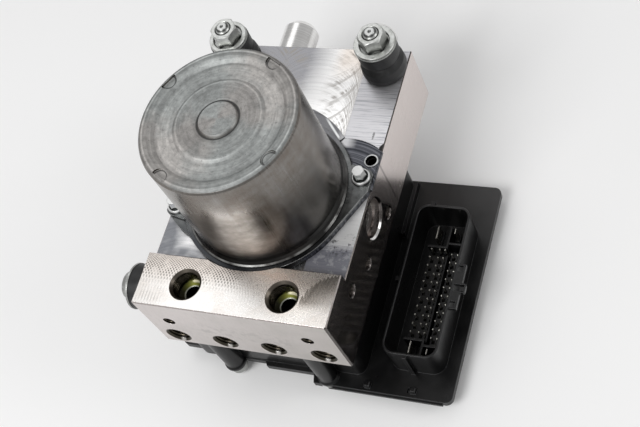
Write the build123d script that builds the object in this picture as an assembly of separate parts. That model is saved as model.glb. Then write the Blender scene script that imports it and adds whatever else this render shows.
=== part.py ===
from build123d import *
import math
import os

# ABS brake module: valve block, pump motor, control unit, rubber mounts.
# Millimetres. Origin on the motor axis at the underside of the control unit's cover,
# +X towards the socket, +Y from the port face to the back, +Z along the motor axis.

# ---- driving dimensions -------------------------------------------------------------------
unit_depth = 34.0            # control unit, from its cover's underside to the block
block_width = 80.0
block_length = 123.0
block_height = 29.0          # main face above the block's underside
step_rise = 4.6              # raised front step above the main face
step_depth = 21.6
motor_from_front = 52.8      # motor axis behind the port face
strip_x = 23.0               # right strip of the main face keeps the sawn height
mill_depth = 0.3             # the rest is milled this much lower

can_radius = 30.5
can_height = 51.3
can_wall = 2.0
flange_thickness = 3.0
flange_radius = 34.0
ear_radius = 37.4            # motor screws from the motor axis
ear_angle = 15.0             # degrees, from +X
pump_height = 18.9           # pump axis above the block's underside
eccentric_throw = 1.2

inlet_port_spacing = 40.0
inlet_port_from_front = 10.1
outlet_port_pitch = 20.7
port_row_offset = -0.7       # the outlet row sits a little left of the block's centre
outlet_port_height = 6.1
valve_pitch = 17.4
valve_shift = -1.7             # the valve rows sit left of the motor axis, as the coil box does
inlet_valve_y = -24.0
outlet_valve_y = 24.0
accumulator_x = 18.0
accumulator_height = 14.3
accumulator_radius = 7.6
accumulator_reach = 20.0     # caps stand this far out of the back face

mount_x = 31.7
mount_y = 61.2
side_mount_y = -40.6
side_mount_height = 21.0
stud_radius = 3.0

deck_top = 8.0               # top of the control unit's flange plate
deck_thickness = 1.8
cover_flange = 1.0
shroud_height = 16.0
fit_gap = 0.02               # radial gap of pieces that seat in each other

# ---- derived places -----------------------------------------------------------------------
block_left = -block_width / 2
block_right = block_width / 2
block_front = -motor_from_front
block_back = block_front + block_length
block_bottom = unit_depth
block_top = block_bottom + block_height
step_top = block_top + step_rise
mill_top = block_top - mill_depth
pump_z = block_bottom + pump_height
flange_top = block_top + flange_thickness
can_top = flange_top + can_height
inlet_port_y = block_front + inlet_port_from_front
outlet_port_z = block_bottom + outlet_port_height
accumulator_z = block_bottom + accumulator_height
side_mount_z = block_bottom + side_mount_height
accumulator_end = block_back + accumulator_reach
deck_bottom = deck_top - deck_thickness
cover_top = deck_bottom
cover_bottom = 0.0

inlet_port_xs = [-inlet_port_spacing / 2, inlet_port_spacing / 2]
outlet_port_xs = [port_row_offset + outlet_port_pitch * (i - 1.5) for i in range(4)]
bracket_hole_xs = [port_row_offset - 29.0, port_row_offset + 29.0]
bracket_hole_z = block_bottom + 19.7
valve_xs = [valve_shift + valve_pitch * (i - 1.5) for i in range(4)]
ear_places = [
    (ear_radius * math.cos(math.radians(ear_angle + turn)),
     ear_radius * math.sin(math.radians(ear_angle + turn)))
    for turn in (0, 180)
]

os.makedirs("parts", exist_ok=True)


# ---- helpers ------------------------------------------------------------------------------
def rod(x, y, z_low, z_high, radius):
    """Upright cylinder between two heights."""
    return Pos(x, y, (z_low + z_high) / 2) * Cylinder(radius, z_high - z_low)


def rod_x(x_low, x_high, y, z, radius):
    """Cylinder along X."""
    return Pos((x_low + x_high) / 2, y, z) * Rot(0, 90, 0) * Cylinder(radius, x_high - x_low)


def rod_y(x, y_low, y_high, z, radius):
    """Cylinder along Y."""
    return Pos(x, (y_low + y_high) / 2, z) * Rot(90, 0, 0) * Cylinder(radius, y_high - y_low)


def block(x_low, x_high, y_low, y_high, z_low, z_high):
    """Box between its limits."""
    centre = Pos((x_low + x_high) / 2, (y_low + y_high) / 2, (z_low + z_high) / 2)
    return centre * Box(x_high - x_low, y_high - y_low, z_high - z_low)


def turned(points):
    """Solid turned about Z from a closed (radius, height) outline."""
    outline = Polyline(*[(r, 0, z) for r, z in points], close=True)
    return revolve(make_face(outline), Axis.Z)


def plate(outline, z_low, z_high):
    """Flat plate of a closed XY sketch between two heights."""
    return Pos(0, 0, z_low) * extrude(outline, z_high - z_low)


def rounded(x_low, x_high, y_low, y_high, corner):
    """Rounded rectangle sketch between its limits."""
    centre = Pos((x_low + x_high) / 2, (y_low + y_high) / 2)
    return centre * RectangleRounded(x_high - x_low, y_high - y_low, corner)


def aim_x(solid, side, z, y=0):
    """Lay a solid turned about Z so that its height runs along +X or -X."""
    return Pos(0, y, z) * Rot(0, 90 * side, 0) * solid


def aim_y(solid, x, z):
    """Lay a solid turned about Z so that its height runs along +Y."""
    return Pos(x, 0, z) * Rot(-90, 0, 0) * solid


def mouth_cut(radius, depth, face):
    """Cutter for the 45 degree chamfer at the mouth of a bore whose axis is Z."""
    over = 0.5
    return turned([(0, face + over), (radius + depth + over, face + over), (radius, face - depth),
                   (0, face - depth)])


def coil_spring(mean_radius, wire_radius, low, high, turns):
    """Round-wire spring about Z whose end turns reach the two heights."""
    rise = high - low - 2 * wire_radius
    path = Pos(0, 0, low + wire_radius) * Helix(pitch=rise / turns, height=rise, radius=mean_radius)
    section = Plane(origin=path @ 0, z_dir=path % 0) * Circle(wire_radius)
    return sweep(section, path=path, is_frenet=True)


def save(name, *solids):
    """One node: a single solid, or a group of separate like solids."""
    if len(solids) == 1:
        shape = solids[0]
    else:
        shape = Compound(children=[s if isinstance(s, Solid) else s.solid() for s in solids])
    shape.label = name
    export_step(shape, f"parts/{name}.step")


# ---- valve block --------------------------------------------------------------------------
port_mouth = 6.5
port_radius = 5.5            # M12 inlet thread, wall at the minor diameter
port_depth = 7.4             # down to the coned seat of the pipe's flare
port_seat_depth = 8.2
port_seat_radius = 3.2
port_drilling_depth = 15.0
outlet_mouth = 5.35
outlet_radius = 4.45         # M10 outlet thread
outlet_depth = 13.0
outlet_seat_radius = 1.8
chamber_radius = 11.2        # eccentric's chamber
chamber_floor = pump_z - 9.0
spigot_radius = 12.2
spigot_depth = 5.5
plug_bore_start = 27.0       # the pump bore widens for its plug from here outwards
liner_radius = 6.0
valve_radius = 4.5
valve_depth = 16.0
screw_hole_radius = 2.1
bracket_hole_radius = 2.5
bracket_hole_depth = 9.0
stud_hole_radius = 2.5
stud_hole_depth = 12.0
ball_radius = 2.5
drilling_radius = 1.6
terminal_x = valve_shift
terminal_y = 16.4
terminal_bore = 2.9
accumulator_depth = 24.0
unit_screw_radius = 2.0
unit_screw_thread = 9.0
flange_relief = flange_radius + 0.6
edge_break = 0.4             # small chamfer round the machined faces
bore_chamfer = 0.7
ball_chamfer = 0.4
ball_sink = 3.55             # ball centres below the side face

ball_places = [
    (1, 9.3, block_bottom + 7.0),
    (1, -15.7, block_bottom + 12.2),
    (1, -31.1, block_bottom + 19.9),
    (-1, 9.3, block_bottom + 7.0),
    (-1, -15.7, block_bottom + 12.2),
]
unit_screw_places = [(-21.3, -48.4), (20.5, -48.6), (-34.0, 36.8), (30.6, 36.8)]


def on_outside(edge):
    """Whether an edge lies along the block's left, right or back face."""
    centre = edge.center()
    return abs(centre.X) > block_right - 0.01 or centre.Y > block_back - 0.01


def make_block_blank():
    """Sawn bar with its milled main face and raised front step, edges broken."""
    body = block(block_left, block_right, block_front, block_back, block_bottom, block_top)
    body -= block(block_left - 1, strip_x, block_front, block_back + 1, mill_top, block_top + 1)
    body += block(block_left, block_right, block_front, block_front + step_depth, block_bottom, step_top)
    body = chamfer(body.edges().filter_by(Axis.Z).group_by(Axis.Y)[0], 0.6)
    body = chamfer(body.edges().group_by(Axis.Z)[-1], edge_break)
    face_edges = body.edges().filter_by(lambda e: mill_top - 0.01 < e.center().Z < block_top + 0.01)
    body = chamfer(face_edges.filter_by(Axis.Y).filter_by(on_outside), edge_break)
    body -= rod(0, 0, block_top - 0.05, step_top + 1, flange_relief)
    return body


def make_valve_block():
    body = make_block_blank()
    for x in inlet_port_xs:
        y = inlet_port_y
        body -= Pos(x, y, step_top) * turned([
            (0, 0.5), (port_mouth + 0.5, 0.5), (port_mouth, 0), (port_radius, -1.0),
            (port_radius, -port_depth), (port_seat_radius, -port_seat_depth),
            (port_seat_radius, -port_drilling_depth), (0, -port_drilling_depth)])
    for x in outlet_port_xs:
        outlet = turned([
            (0, 0.5), (outlet_mouth + 0.5, 0.5), (outlet_mouth, 0), (outlet_radius, -0.9),
            (outlet_radius, -outlet_depth), (outlet_seat_radius, -outlet_depth - 1.8),
            (outlet_seat_radius, -outlet_depth - 5), (0, -outlet_depth - 5)])
        body -= Pos(x, block_front, outlet_port_z) * Rot(90, 0, 0) * outlet
    for x in bracket_hole_xs:
        body -= rod_y(x, block_front - 1, block_front + bracket_hole_depth, bracket_hole_z,
                      bracket_hole_radius)
    body -= rod(0, 0, block_top - spigot_depth, block_top + 1, spigot_radius)
    body -= rod(0, 0, chamber_floor, block_top, chamber_radius)
    for side in (-1, 1):
        body -= rod_x(min(0, side * plug_bore_start), max(0, side * plug_bore_start), 0, pump_z, liner_radius)
        outer = sorted((side * plug_bore_start, side * (block_right + 1)))
        body -= rod_x(outer[0], outer[1], 0, pump_z, accumulator_radius)
        body -= aim_x(mouth_cut(accumulator_radius, bore_chamfer, block_right), side, pump_z)
    for x in valve_xs:
        for y in (inlet_valve_y, outlet_valve_y):
            body -= rod(x, y, block_bottom - 1, block_bottom + valve_depth, valve_radius)
            body -= rod(x, y, block_bottom, block_bottom + valve_depth + 2, drilling_radius)
    for x, y in ear_places:
        body -= rod(x, y, block_top - 8, block_top + 1, screw_hole_radius)
    body -= rod(*leaf_hole, block_top - locating_depth, block_top + 1, locating_radius)
    for x in (-mount_x, mount_x):
        body -= rod(x, mount_y, block_top - stud_hole_depth, block_top + 1, stud_hole_radius)
    body -= rod_x(block_left - 1, block_left + stud_hole_depth - 2, side_mount_y, side_mount_z,
                  stud_hole_radius)
    for x in (-accumulator_x, accumulator_x):
        body -= rod_y(x, block_back - accumulator_depth, block_back + 1, accumulator_z, accumulator_radius)
        body -= rod_y(x, block_back - accumulator_depth - 8, block_back, accumulator_z, drilling_radius)
        body -= aim_y(mouth_cut(accumulator_radius, bore_chamfer, block_back), x, accumulator_z)
    for side, y, z in ball_places:
        body -= aim_x(mouth_cut(ball_radius, ball_chamfer, block_right), side, z, y)
        inner = sorted((side * 20.0, side * block_right))
        body -= rod_x(inner[0], inner[1], y, z, drilling_radius)
        seat = sorted((side * (block_right - 5.5), side * (block_right + 1)))
        body -= rod_x(seat[0], seat[1], y, z, ball_radius)
    body -= rod(terminal_x, terminal_y, block_bottom - 1, block_top + 1, terminal_bore)
    for x, y in unit_screw_places:
        body -= rod(x, y, block_bottom - 1, block_bottom + unit_screw_thread, unit_screw_radius - 0.3)
    return body


def make_ball_plugs():
    for side, y, z in ball_places:
        yield Pos(side * (block_right - ball_sink), y, z) * Sphere(ball_radius - fit_gap)


# ---- pump ---------------------------------------------------------------------------------
journal_radius = 6.0
ring_radius = 9.4
ring_half_width = 4.0
piston_radius = 3.5
piston_running_gap = 0.03
piston_inner = ring_radius + eccentric_throw + 0.05
piston_outer = 24.6
liner_inner = 13.0
pump_plug_face = 36.6
pump_spring_mean = 2.82
pump_spring_wire = 0.36


def make_pump_liner(side):
    liner = turned([
        (piston_radius, liner_inner), (liner_radius - fit_gap, liner_inner),
        (liner_radius - fit_gap, plug_bore_start), (accumulator_radius - fit_gap, plug_bore_start),
        (accumulator_radius - fit_gap, plug_bore_start + 1.6), (piston_radius, plug_bore_start + 1.6)])
    return aim_x(liner, side, pump_z)


def make_pump_piston(side):
    piston = turned([
        (0, piston_inner), (piston_radius - piston_running_gap, piston_inner),
        (piston_radius - piston_running_gap, piston_outer - 2), (2.2, piston_outer - 2),
        (2.2, piston_outer), (1.0, piston_outer), (1.0, piston_outer - 7), (0, piston_outer - 7)])
    return aim_x(piston, side, pump_z)


def make_pump_spring(side):
    spring = coil_spring(pump_spring_mean, pump_spring_wire, piston_outer - 1.9, plug_bore_start + 1.5, 4)
    return aim_x(spring, side, pump_z)


def make_pump_plug(side):
    plug = turned([
        (0, plug_bore_start + 4.6), (2.4, plug_bore_start + 4.6), (2.4, plug_bore_start + 1.65),
        (accumulator_radius - fit_gap, plug_bore_start + 1.65),
        (accumulator_radius - fit_gap, pump_plug_face - 1),
        (accumulator_radius - 1, pump_plug_face), (3.2, pump_plug_face), (2.4, pump_plug_face - 1.4),
        (0, pump_plug_face - 1.4)])
    return aim_x(plug, side, pump_z)


# ---- motor --------------------------------------------------------------------------------
shaft_radius = 4.0
bearing_radius = 8.0
magnet_low = flange_top + 9.0
magnet_high = flange_top + 38.0
core_low = flange_top + 12.0
core_high = flange_top + 34.0
core_radius = 22.0
commutator_radius = 9.0
brush_height = 4.0
can_foot = 1.8               # the can's rim flares out over the flange
notch_count = 4
notch_angle = 60.0
notch_centre = 28.7
notch_radius = 3.3
notch_depth = 0.8


def make_motor_can():
    top = can_top
    outer = can_radius
    inner = can_radius - can_wall
    profile = [
        (0, top - 0.1), (7.1, top - 0.1), (7.8, top - 1.0), (8.4, top - 1.0), (9.1, top - 0.8),
        (16.4, top - 0.8), (17.6, top - 1.4), (24.4, top - 1.4), (25.8, top - 0.5), (27.0, top),
        (29.1, top), (30.0, top - 0.4), (outer, top - 1.3), (outer, flange_top + 3.2),
        (outer + 0.4, flange_top + 2.0), (outer + 1.1, flange_top + 0.9),
        (outer + can_foot, flange_top + 0.4), (outer + can_foot, flange_top),
        (inner, flange_top), (inner, top - 3.4), (inner - 1.6, top - 4.2), (bearing_radius + 2, top - 4.2),
        (bearing_radius, top - 3.6), (0, top - 3.6)]
    can = turned(profile)
    for i in range(notch_count):
        angle = math.radians(notch_angle + 90 * i)
        x = notch_centre * math.cos(angle)
        y = notch_centre * math.sin(angle)
        dimple = rod(0, 0, -notch_depth, 1, notch_radius) & block(-4, 0.3, -4, 4, -2, 2)
        can -= Pos(x, y, top) * Rot(0, 0, notch_angle + 90 * i) * dimple
    return can


ear_lobe = 4.4               # round end of each ear about its screw
ear_notch = (31.2, 15.2)     # inside corner where the ear leaves the disc
ear_low = 4.3                # the ear's straight flank starts here on the block's side
ear_touch = -26.4            # degrees, where that flank runs onto the disc
web_height = 2.2             # thinner web beside the left ear
leaf_height = 1.5            # thin leaf under the right ear, with a hole of its own
leaf_edge = 40.6
leaf_hole = (37.4, 18.1)     # open locating hole, drilled on into the block
leaf_hole_radius = 2.2
locating_radius = 1.8
locating_depth = 8.0
lip_height = 0.6             # thin lip behind the disc


def disc_point(angle):
    turn = math.radians(angle)
    return (flange_radius * math.cos(turn), flange_radius * math.sin(turn))


def ear_outline():
    """Ear towards +X: a lobe round its screw and a straight flank down to the disc."""
    x, y = ear_places[0]
    web = make_face(Polyline((10, 0), ear_notch, (x, y + ear_lobe), (block_right, y), (block_right, ear_low),
                             disc_point(ear_touch), close=True))
    ear = web + Pos(x, y) * Circle(ear_lobe)
    return ear & Pos(0, 0) * Rectangle(2 * block_right, 2 * block_right)


def leaf_outline():
    outline = Polyline((39.0, 23.8), (leaf_edge, 22.8), (leaf_edge, 6.0), (38, ear_low), (28, 2), (20, 22),
                       (23.8, 27.5))
    return make_face([outline, ThreePointArc((23.8, 27.5), (31.2, 27.0), (39.0, 23.8))])


def lip_outline():
    arc = ThreePointArc((0, 41.9), (15.3, 35.5), (23.3, 28.2))
    return make_face([arc, Polyline((23.3, 28.2), (18, 22), (-6, 30), (0, 41.9))])


def make_motor_flange():
    left_x, left_y = ear_places[1]
    web = make_face(Polyline((0, 0), (left_x, left_y + 2), (left_x - 2.5, left_y - 2.9),
                             (left_x - 1.8, left_y - 4.2), (-32.2, -18.5), (-27.6, -20.9),
                             disc_point(230), close=True))
    leaf = plate(leaf_outline(), block_top, block_top + leaf_height)
    flange = plate(Circle(flange_radius), block_top, flange_top)
    for turn in (0, 180):
        flange += plate(Rot(0, 0, turn) * ear_outline(), block_top, flange_top)
    flange += plate(web, block_top, block_top + web_height)
    flange += fillet(leaf.edges().group_by(Axis.Z)[-1], 0.5)
    flange += plate(lip_outline(), block_top, block_top + lip_height)
    seat = plate(Circle(flange_radius - 1), mill_top, block_top)
    flange += seat & block(-60, strip_x - fit_gap, block_front + step_depth + fit_gap, 60, 0, 200)
    flange += rod(*leaf_hole, block_top, block_top + leaf_height + 0.3, leaf_hole_radius + 0.6)
    flange -= rod(*leaf_hole, block_top - 1, flange_top, leaf_hole_radius)
    flange += rod(0, 0, block_top - spigot_depth + 0.1, block_top, spigot_radius - fit_gap)
    flange += rod(0, 0, flange_top, flange_top + 1.6, can_radius - can_wall - fit_gap)
    flange -= rod(0, 0, block_top - spigot_depth, flange_top - 1.5, bearing_radius)
    flange -= rod(0, 0, block_top, flange_top + 3, shaft_radius + 1.2)
    flange -= rod(terminal_x, terminal_y, block_top - 1, flange_top + 3, terminal_bore - 0.2)
    for x, y in ear_places:
        flange -= rod(x, y, block_top - 1, flange_top + 1, 2.6)
    return flange


washer_radius = 3.65         # the motor screw's own washer face
screw_hex = 2.45             # corner radius of its small tall hexagon
screw_head_height = 5.4


def make_motor_screw(x, y):
    top = screw_head_height
    washer = turned([(0, 0), (washer_radius, 0), (washer_radius, 0.9), (washer_radius - 0.35, 1.3),
                     (washer_radius - 0.8, 1.3), (screw_hex, 0.8), (0, 0.8)])
    crown = turned([(0, 0.8), (screw_hex, 0.8), (screw_hex, top - 0.3), (screw_hex - 0.3, top), (0, top)])
    head = plate(RegularPolygon(screw_hex, 6), 0.8, top) & crown
    screw = washer + head + rod(0, 0, -10.0, 0, screw_hole_radius - fit_gap)
    return Pos(x, y, flange_top) * Rot(0, 0, 10) * screw


def make_magnets():
    ring = rod(0, 0, magnet_low, magnet_high, can_radius - can_wall - fit_gap)
    ring -= rod(0, 0, magnet_low - 1, magnet_high + 1, core_radius + 0.8)
    for side in (-1, 1):
        wedge = make_face(Polyline((0, 0), (side * 40, -26), (side * 40, 26), close=True))
        yield ring & plate(wedge, magnet_low, magnet_high)


def make_rotor_core():
    core = rod(0, 0, core_low, core_high, core_radius) - rod(0, 0, core_low - 1, core_high + 1, shaft_radius)
    for i in range(8):
        slot = block(core_radius - 8, core_radius + 1, -2.2, 2.2, core_low - 1, core_high + 1)
        core -= Rot(0, 0, 45 * i) * slot
    return core


def make_windings():
    for low, high in ((core_low - 3.4, core_low - 0.02), (core_high + 0.02, core_high + 4.4)):
        middle = (low + high) / 2
        yield turned([(6.0, low), (17.5, low), (20.0, middle), (17.5, high), (6.0, high)])


def make_motor_shaft():
    return turned([
        (0, chamber_floor + 0.6), (shaft_radius - 0.4, chamber_floor + 0.6),
        (shaft_radius, chamber_floor + 1), (shaft_radius, can_top - 5.2),
        (shaft_radius - 0.5, can_top - 4.7), (0, can_top - 4.7)])


def make_eccentric():
    journal = rod(0, eccentric_throw, pump_z - ring_half_width, pump_z + ring_half_width, journal_radius)
    return journal - rod(0, 0, 0, 200, shaft_radius)


def make_eccentric_ring():
    half = ring_half_width - 0.2
    ring = rod(0, eccentric_throw, pump_z - half, pump_z + half, ring_radius)
    return ring - rod(0, eccentric_throw, 0, 200, journal_radius + fit_gap)


def make_bearing(z_low, z_high):
    running = 0.05
    return rod(0, 0, z_low, z_high, bearing_radius - fit_gap) - rod(0, 0, 0, 200, shaft_radius + running)


def make_commutator():
    return rod(0, 0, flange_top + 2.0, core_low - 3.5, commutator_radius) - rod(0, 0, 0, 200, shaft_radius)


brush_low = flange_top + 3.2


def make_brush_holder():
    holder = rod(0, 0, flange_top + 1.7, brush_low, can_radius - can_wall - 0.4)
    holder -= rod(0, 0, 0, 200, commutator_radius + 1.0)
    holder -= rod(terminal_x, terminal_y, 0, 200, terminal_bore - 0.2)
    for side in (-1, 1):
        cage = block(min(side * 13, side * 23), max(side * 13, side * 23), -4.2, 4.2, brush_low - 0.2,
                     brush_low + brush_height + 0.8)
        cage -= block(min(side * 12, side * 22), max(side * 12, side * 22), -3.02, 3.02, brush_low,
                      brush_low + brush_height + 0.02)
        holder += cage
    return holder


def make_brushes():
    for side in (-1, 1):
        near = commutator_radius + 0.05
        yield block(min(side * near, side * 19), max(side * near, side * 19), -3, 3, brush_low,
                    brush_low + brush_height)


def make_terminals():
    for side in (-1, 1):
        x = terminal_x + side * 1.5
        yield block(x - 0.8, x + 0.8, terminal_y - 0.4, terminal_y + 0.4, board_top, brush_low)


def make_terminal_sleeve():
    sleeve = rod(terminal_x, terminal_y, block_bottom - 6, block_top - 0.5, terminal_bore - fit_gap)
    for side in (-1, 1):
        x = terminal_x + side * 1.5
        sleeve -= block(x - 0.82, x + 0.82, terminal_y - 0.42, terminal_y + 0.42, 0, 200)
    return sleeve


# ---- valves -------------------------------------------------------------------------------
dome_radius = 3.4
dome_wall = 0.4
dome_floor = 0.5
dome_low = block_bottom - 17.0
coil_low = block_bottom - 19.0
coil_high = block_bottom - 4.5
coil_radius = 7.4
yoke_radius = 8.3


def make_valve_body(x, y):
    body = turned([
        (0, dome_low), (dome_radius - 0.4, dome_low), (dome_radius, dome_low + 0.4),
        (dome_radius, block_bottom + 0.1),
        (valve_radius - fit_gap, block_bottom + 0.1), (valve_radius - fit_gap, block_bottom + 11),
        (valve_radius - 1.4, block_bottom + 13), (valve_radius - 1.4, block_bottom + valve_depth - 0.5),
        (0, block_bottom + valve_depth - 0.5)])
    body -= rod(0, 0, dome_low + dome_floor, block_bottom - 0.6, dome_radius - dome_wall)
    body -= rod(0, 0, block_bottom - 1, block_bottom + valve_depth, 0.8)
    return Pos(x, y, 0) * body


def make_plunger(x, y):
    gap = 0.04
    low = dome_low + dome_floor + 0.05
    plunger = turned([
        (0, low), (dome_radius - dome_wall - gap, low), (dome_radius - dome_wall - gap, block_bottom - 2),
        (0.7, block_bottom - 1), (0.7, block_bottom + 6), (0, block_bottom + 6.5)])
    return Pos(x, y, 0) * plunger


def make_coil(x, y):
    coil = rod(x, y, coil_low, coil_high, coil_radius)
    coil -= rod(x, y, 0, 200, dome_radius + 0.15)
    for side in (-1, 1):
        coil += block(x + side * 2 - 0.4, x + side * 2 + 0.4, y + 5.0, y + 5.8, board_top, coil_low + 1)
    return coil


def make_yoke(x, y):
    yoke = rod(x, y, coil_low - 1.0, coil_high + 1.2, yoke_radius)
    yoke -= rod(x, y, coil_low - 2, coil_high, coil_radius + fit_gap)
    yoke -= rod(x, y, 0, 200, dome_radius + 0.15)
    return yoke


# ---- accumulators -------------------------------------------------------------------------
cap_wall = 1.5
accumulator_travel = 7.0
cup_radius = accumulator_radius - cap_wall
accumulator_spring_mean = 3.5
accumulator_spring_wire = 0.7


def make_accumulator_cap(x):
    start = block_back - accumulator_depth + 0.5
    end = accumulator_end
    radius = accumulator_radius - fit_gap
    cap = turned([
        (cup_radius, start), (radius, start), (radius, end - 2.4), (radius - 1.9, end), (0, end),
        (0, end - cap_wall), (cup_radius, end - cap_wall)])
    return aim_y(cap, x, accumulator_z)


def make_accumulator_piston(x):
    start = block_back - accumulator_depth + 1.5
    radius = cup_radius - 0.05
    piston = turned([
        (0, start), (radius, start), (radius, start + 8), (radius - 1.6, start + 8),
        (radius - 1.6, start + 3), (0, start + 3)])
    return aim_y(piston, x, accumulator_z)


def make_accumulator_spring(x):
    start = block_back - accumulator_depth + 4.6 + accumulator_travel
    end = accumulator_end - cap_wall - 0.1
    spring = coil_spring(accumulator_spring_mean, accumulator_spring_wire, start, end, 9)
    return aim_y(spring, x, accumulator_z)


# ---- rubber mounts ------------------------------------------------------------------------
bush_height = 16.1
washer_rims = (8.0, 8.5)     # left and right
washer_thickness = 1.6
washer_floor = 0.7           # the nut sits in a shallow well of the washer
washer_well = 5.95
nut_top = bush_height + 7.0
nut_corner = 5.65
nut_turns = (10.0, 21.0)     # degrees, left and right as tightened
stud_tip = bush_height + 8.4


def make_bush():
    return turned([
        (stud_radius + fit_gap, 0), (8.3, 0), (8.8, 0.8), (9.1, 3.2), (8.8, 6.2), (7.6, 8.0), (6.9, 8.6),
        (6.9, 9.4), (7.6, 9.9), (8.2, 10.2), (8.3, 15.4), (8.0, bush_height),
        (stud_radius + fit_gap, bush_height)])


def make_stud():
    return turned([
        (0, -stud_hole_depth + 0.3), (stud_hole_radius - fit_gap, -stud_hole_depth + 0.3),
        (stud_hole_radius - fit_gap, 0), (stud_radius, 0), (stud_radius, stud_tip - 1.3), (1.8, stud_tip),
        (0.7, stud_tip), (0, stud_tip - 0.7)])


def make_washer(rim):
    low = bush_height
    top = low + washer_thickness
    floor = low + washer_floor
    return turned([
        (stud_radius + 0.1, low), (rim, low), (rim, low + 0.5), (rim - 0.4, low + 0.6),
        (rim - 0.4, low + 0.8), (rim - 0.15, low + 0.9), (rim - 0.15, top - 0.2), (rim - 0.35, top),
        (washer_well + 0.3, top), (washer_well, top - 0.3), (washer_well, floor), (stud_radius + 0.1, floor)])


def make_nut(turn):
    low = bush_height + washer_floor
    crown = turned([
        (stud_radius + fit_gap, low), (nut_corner - 0.3, low), (nut_corner + 0.1, low + 0.4),
        (nut_corner + 0.1, nut_top - 0.8), (nut_corner - 0.8, nut_top), (stud_radius + 0.5, nut_top),
        (stud_radius + fit_gap, nut_top - 0.5)])
    return Rot(0, 0, turn) * (plate(RegularPolygon(nut_corner, 6), low, nut_top) & crown)


side_bush_length = 7.0


def make_side_bush():
    bush = turned([
        (stud_radius + fit_gap, 0), (7.4, 0), (8.7, 1.0), (9.0, 3.2), (8.9, side_bush_length),
        (stud_radius + fit_gap, side_bush_length)])
    return Pos(block_left, side_mount_y, side_mount_z) * Rot(0, -90, 0) * bush


def make_side_pin():
    pin = turned([
        (0, -stud_hole_depth + 3), (stud_hole_radius - fit_gap, -stud_hole_depth + 3),
        (stud_hole_radius - fit_gap, 0), (stud_radius, 0), (stud_radius, side_bush_length),
        (9.1, side_bush_length), (9.1, side_bush_length + 0.8), (5.6, side_bush_length + 3.4),
        (5.2, side_bush_length + 4.8), (0, side_bush_length + 5.0)])
    return Pos(block_left, side_mount_y, side_mount_z) * Rot(0, -90, 0) * pin


# ---- control unit -------------------------------------------------------------------------
plate_left = -48.0
plate_right = 72.2
plate_front = -52.6
plate_left_front = -44.4
plate_back = 42.6
box_left = -39.0
box_right = 35.6
box_front = -46.4
box_back = 41.6
box_wall = 2.0
seal_height = 1.0
boss_radius = 4.0
boss_low = deck_bottom
board_top = 4.3
board_thickness = 1.6
pan_wall = 1.4
cover_lip = 0.6              # the cover stands proud of the deck along the socket end

# plug socket: an upright shroud round two chambers of pins and four chambers of blades
shroud_left = 44.6
shroud_right = 67.0
shroud_front = -41.8
shroud_back = 23.7
shroud_wall = 1.0
shroud_corner = 5.0
shroud_top = deck_top + shroud_height
catch_low = shroud_top - 1.8
catch_right = 70.2
middle_catch_right = 72.0
root = deck_top - 0.5        # what stands on the deck starts inside it
divider_top = deck_top + 7.2
divider_left = 49.6
divider_middle = 57.7
divider_thickness = 0.8
divider_end = 18.7           # the back divider stops short of the back wall
wide_back = 9.5              # chamber of the three left pin rows
wide_front = -31.3
long_back = 11.4             # chamber of the two right pin rows
long_front = -33.35

left_rows = [51.5, 54.9, 57.2]
right_rows = [60.3, 62.8]
left_row_middle = -9.75
right_row_middle = -11.45
pin_count = 11
pin_pitch = 3.65
pin_half = 0.32
pin_top = deck_top + 7.0
insulator_top = deck_top + 2.8
well_depth = 1.4             # square funnel round each pin, wider towards the front left
well_wide_half = 0.75
well_long_half = 0.95
well_near_half = 0.5
spine_left = 57.75           # low wall between the two insulators
spine_right = 58.35
spine_back = 7.0
spine_top = deck_top + 5.2
long_body_back = 9.6
blade_places = [(52.2, 16.0, 5.6), (59.4, 17.2, 2.4), (52.7, -34.6, 5.0), (59.9, -35.6, 2.2)]
blade_half = 0.4
blade_top = deck_top + 7.0


def pin_places():
    for rows, middle in ((left_rows, left_row_middle), (right_rows, right_row_middle)):
        for x in rows:
            for i in range(pin_count):
                yield x, middle + pin_pitch * (i - (pin_count - 1) / 2)


def plate_outline():
    corners = Polyline(
        (plate_left, plate_left_front), (-24, plate_left_front), (-24, -46.8), (-8, -46.8), (-7, -48.6),
        (14, -48.6), (15, plate_front), (plate_right, plate_front), (plate_right, plate_back),
        (plate_left, plate_back), close=True)
    face = make_face(corners)
    corner = face.vertices().filter_by(lambda v: v.X > 70 or v.X < -40)
    return fillet(corner, 3.0)


def across(x_low, x_high, y):
    """Socket divider that runs along X."""
    half = divider_thickness / 2
    return block(x_low, x_high, y - half, y + half, root, divider_top)


def make_dividers():
    """Thin walls between the pin chambers and the blade chambers at both ends."""
    right = shroud_right - shroud_wall + 0.3
    half = divider_thickness / 2
    walls = []
    for near, far, end in ((wide_back, long_back, divider_end), (wide_front, long_front, shroud_front + 0.5)):
        walls.append(across(divider_left, divider_middle + half, near))
        walls.append(across(divider_middle - half, right, far))
        walls.append(block(divider_middle - half, divider_middle + half, min(near, end), max(near, end), root,
                           divider_top))
    return walls


def make_insulators():
    """Raised bodies the pins stand in, one per chamber, with a low wall between them."""
    left = block(divider_left, spine_right, wide_front, wide_back, root, insulator_top)
    right = block(spine_right + 0.5, shroud_right - 2.2, long_front, long_body_back, root, insulator_top)
    spine = block(spine_left, spine_right, wide_front, spine_back, root, spine_top)
    return [left, right, spine]


def make_collar(x, y, long):
    """Foot round a blade."""
    return block(x - 1.1, x + 1.1, y - long / 2 - 0.7, y + long / 2 + 0.7, root, deck_top + 1.2)


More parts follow.
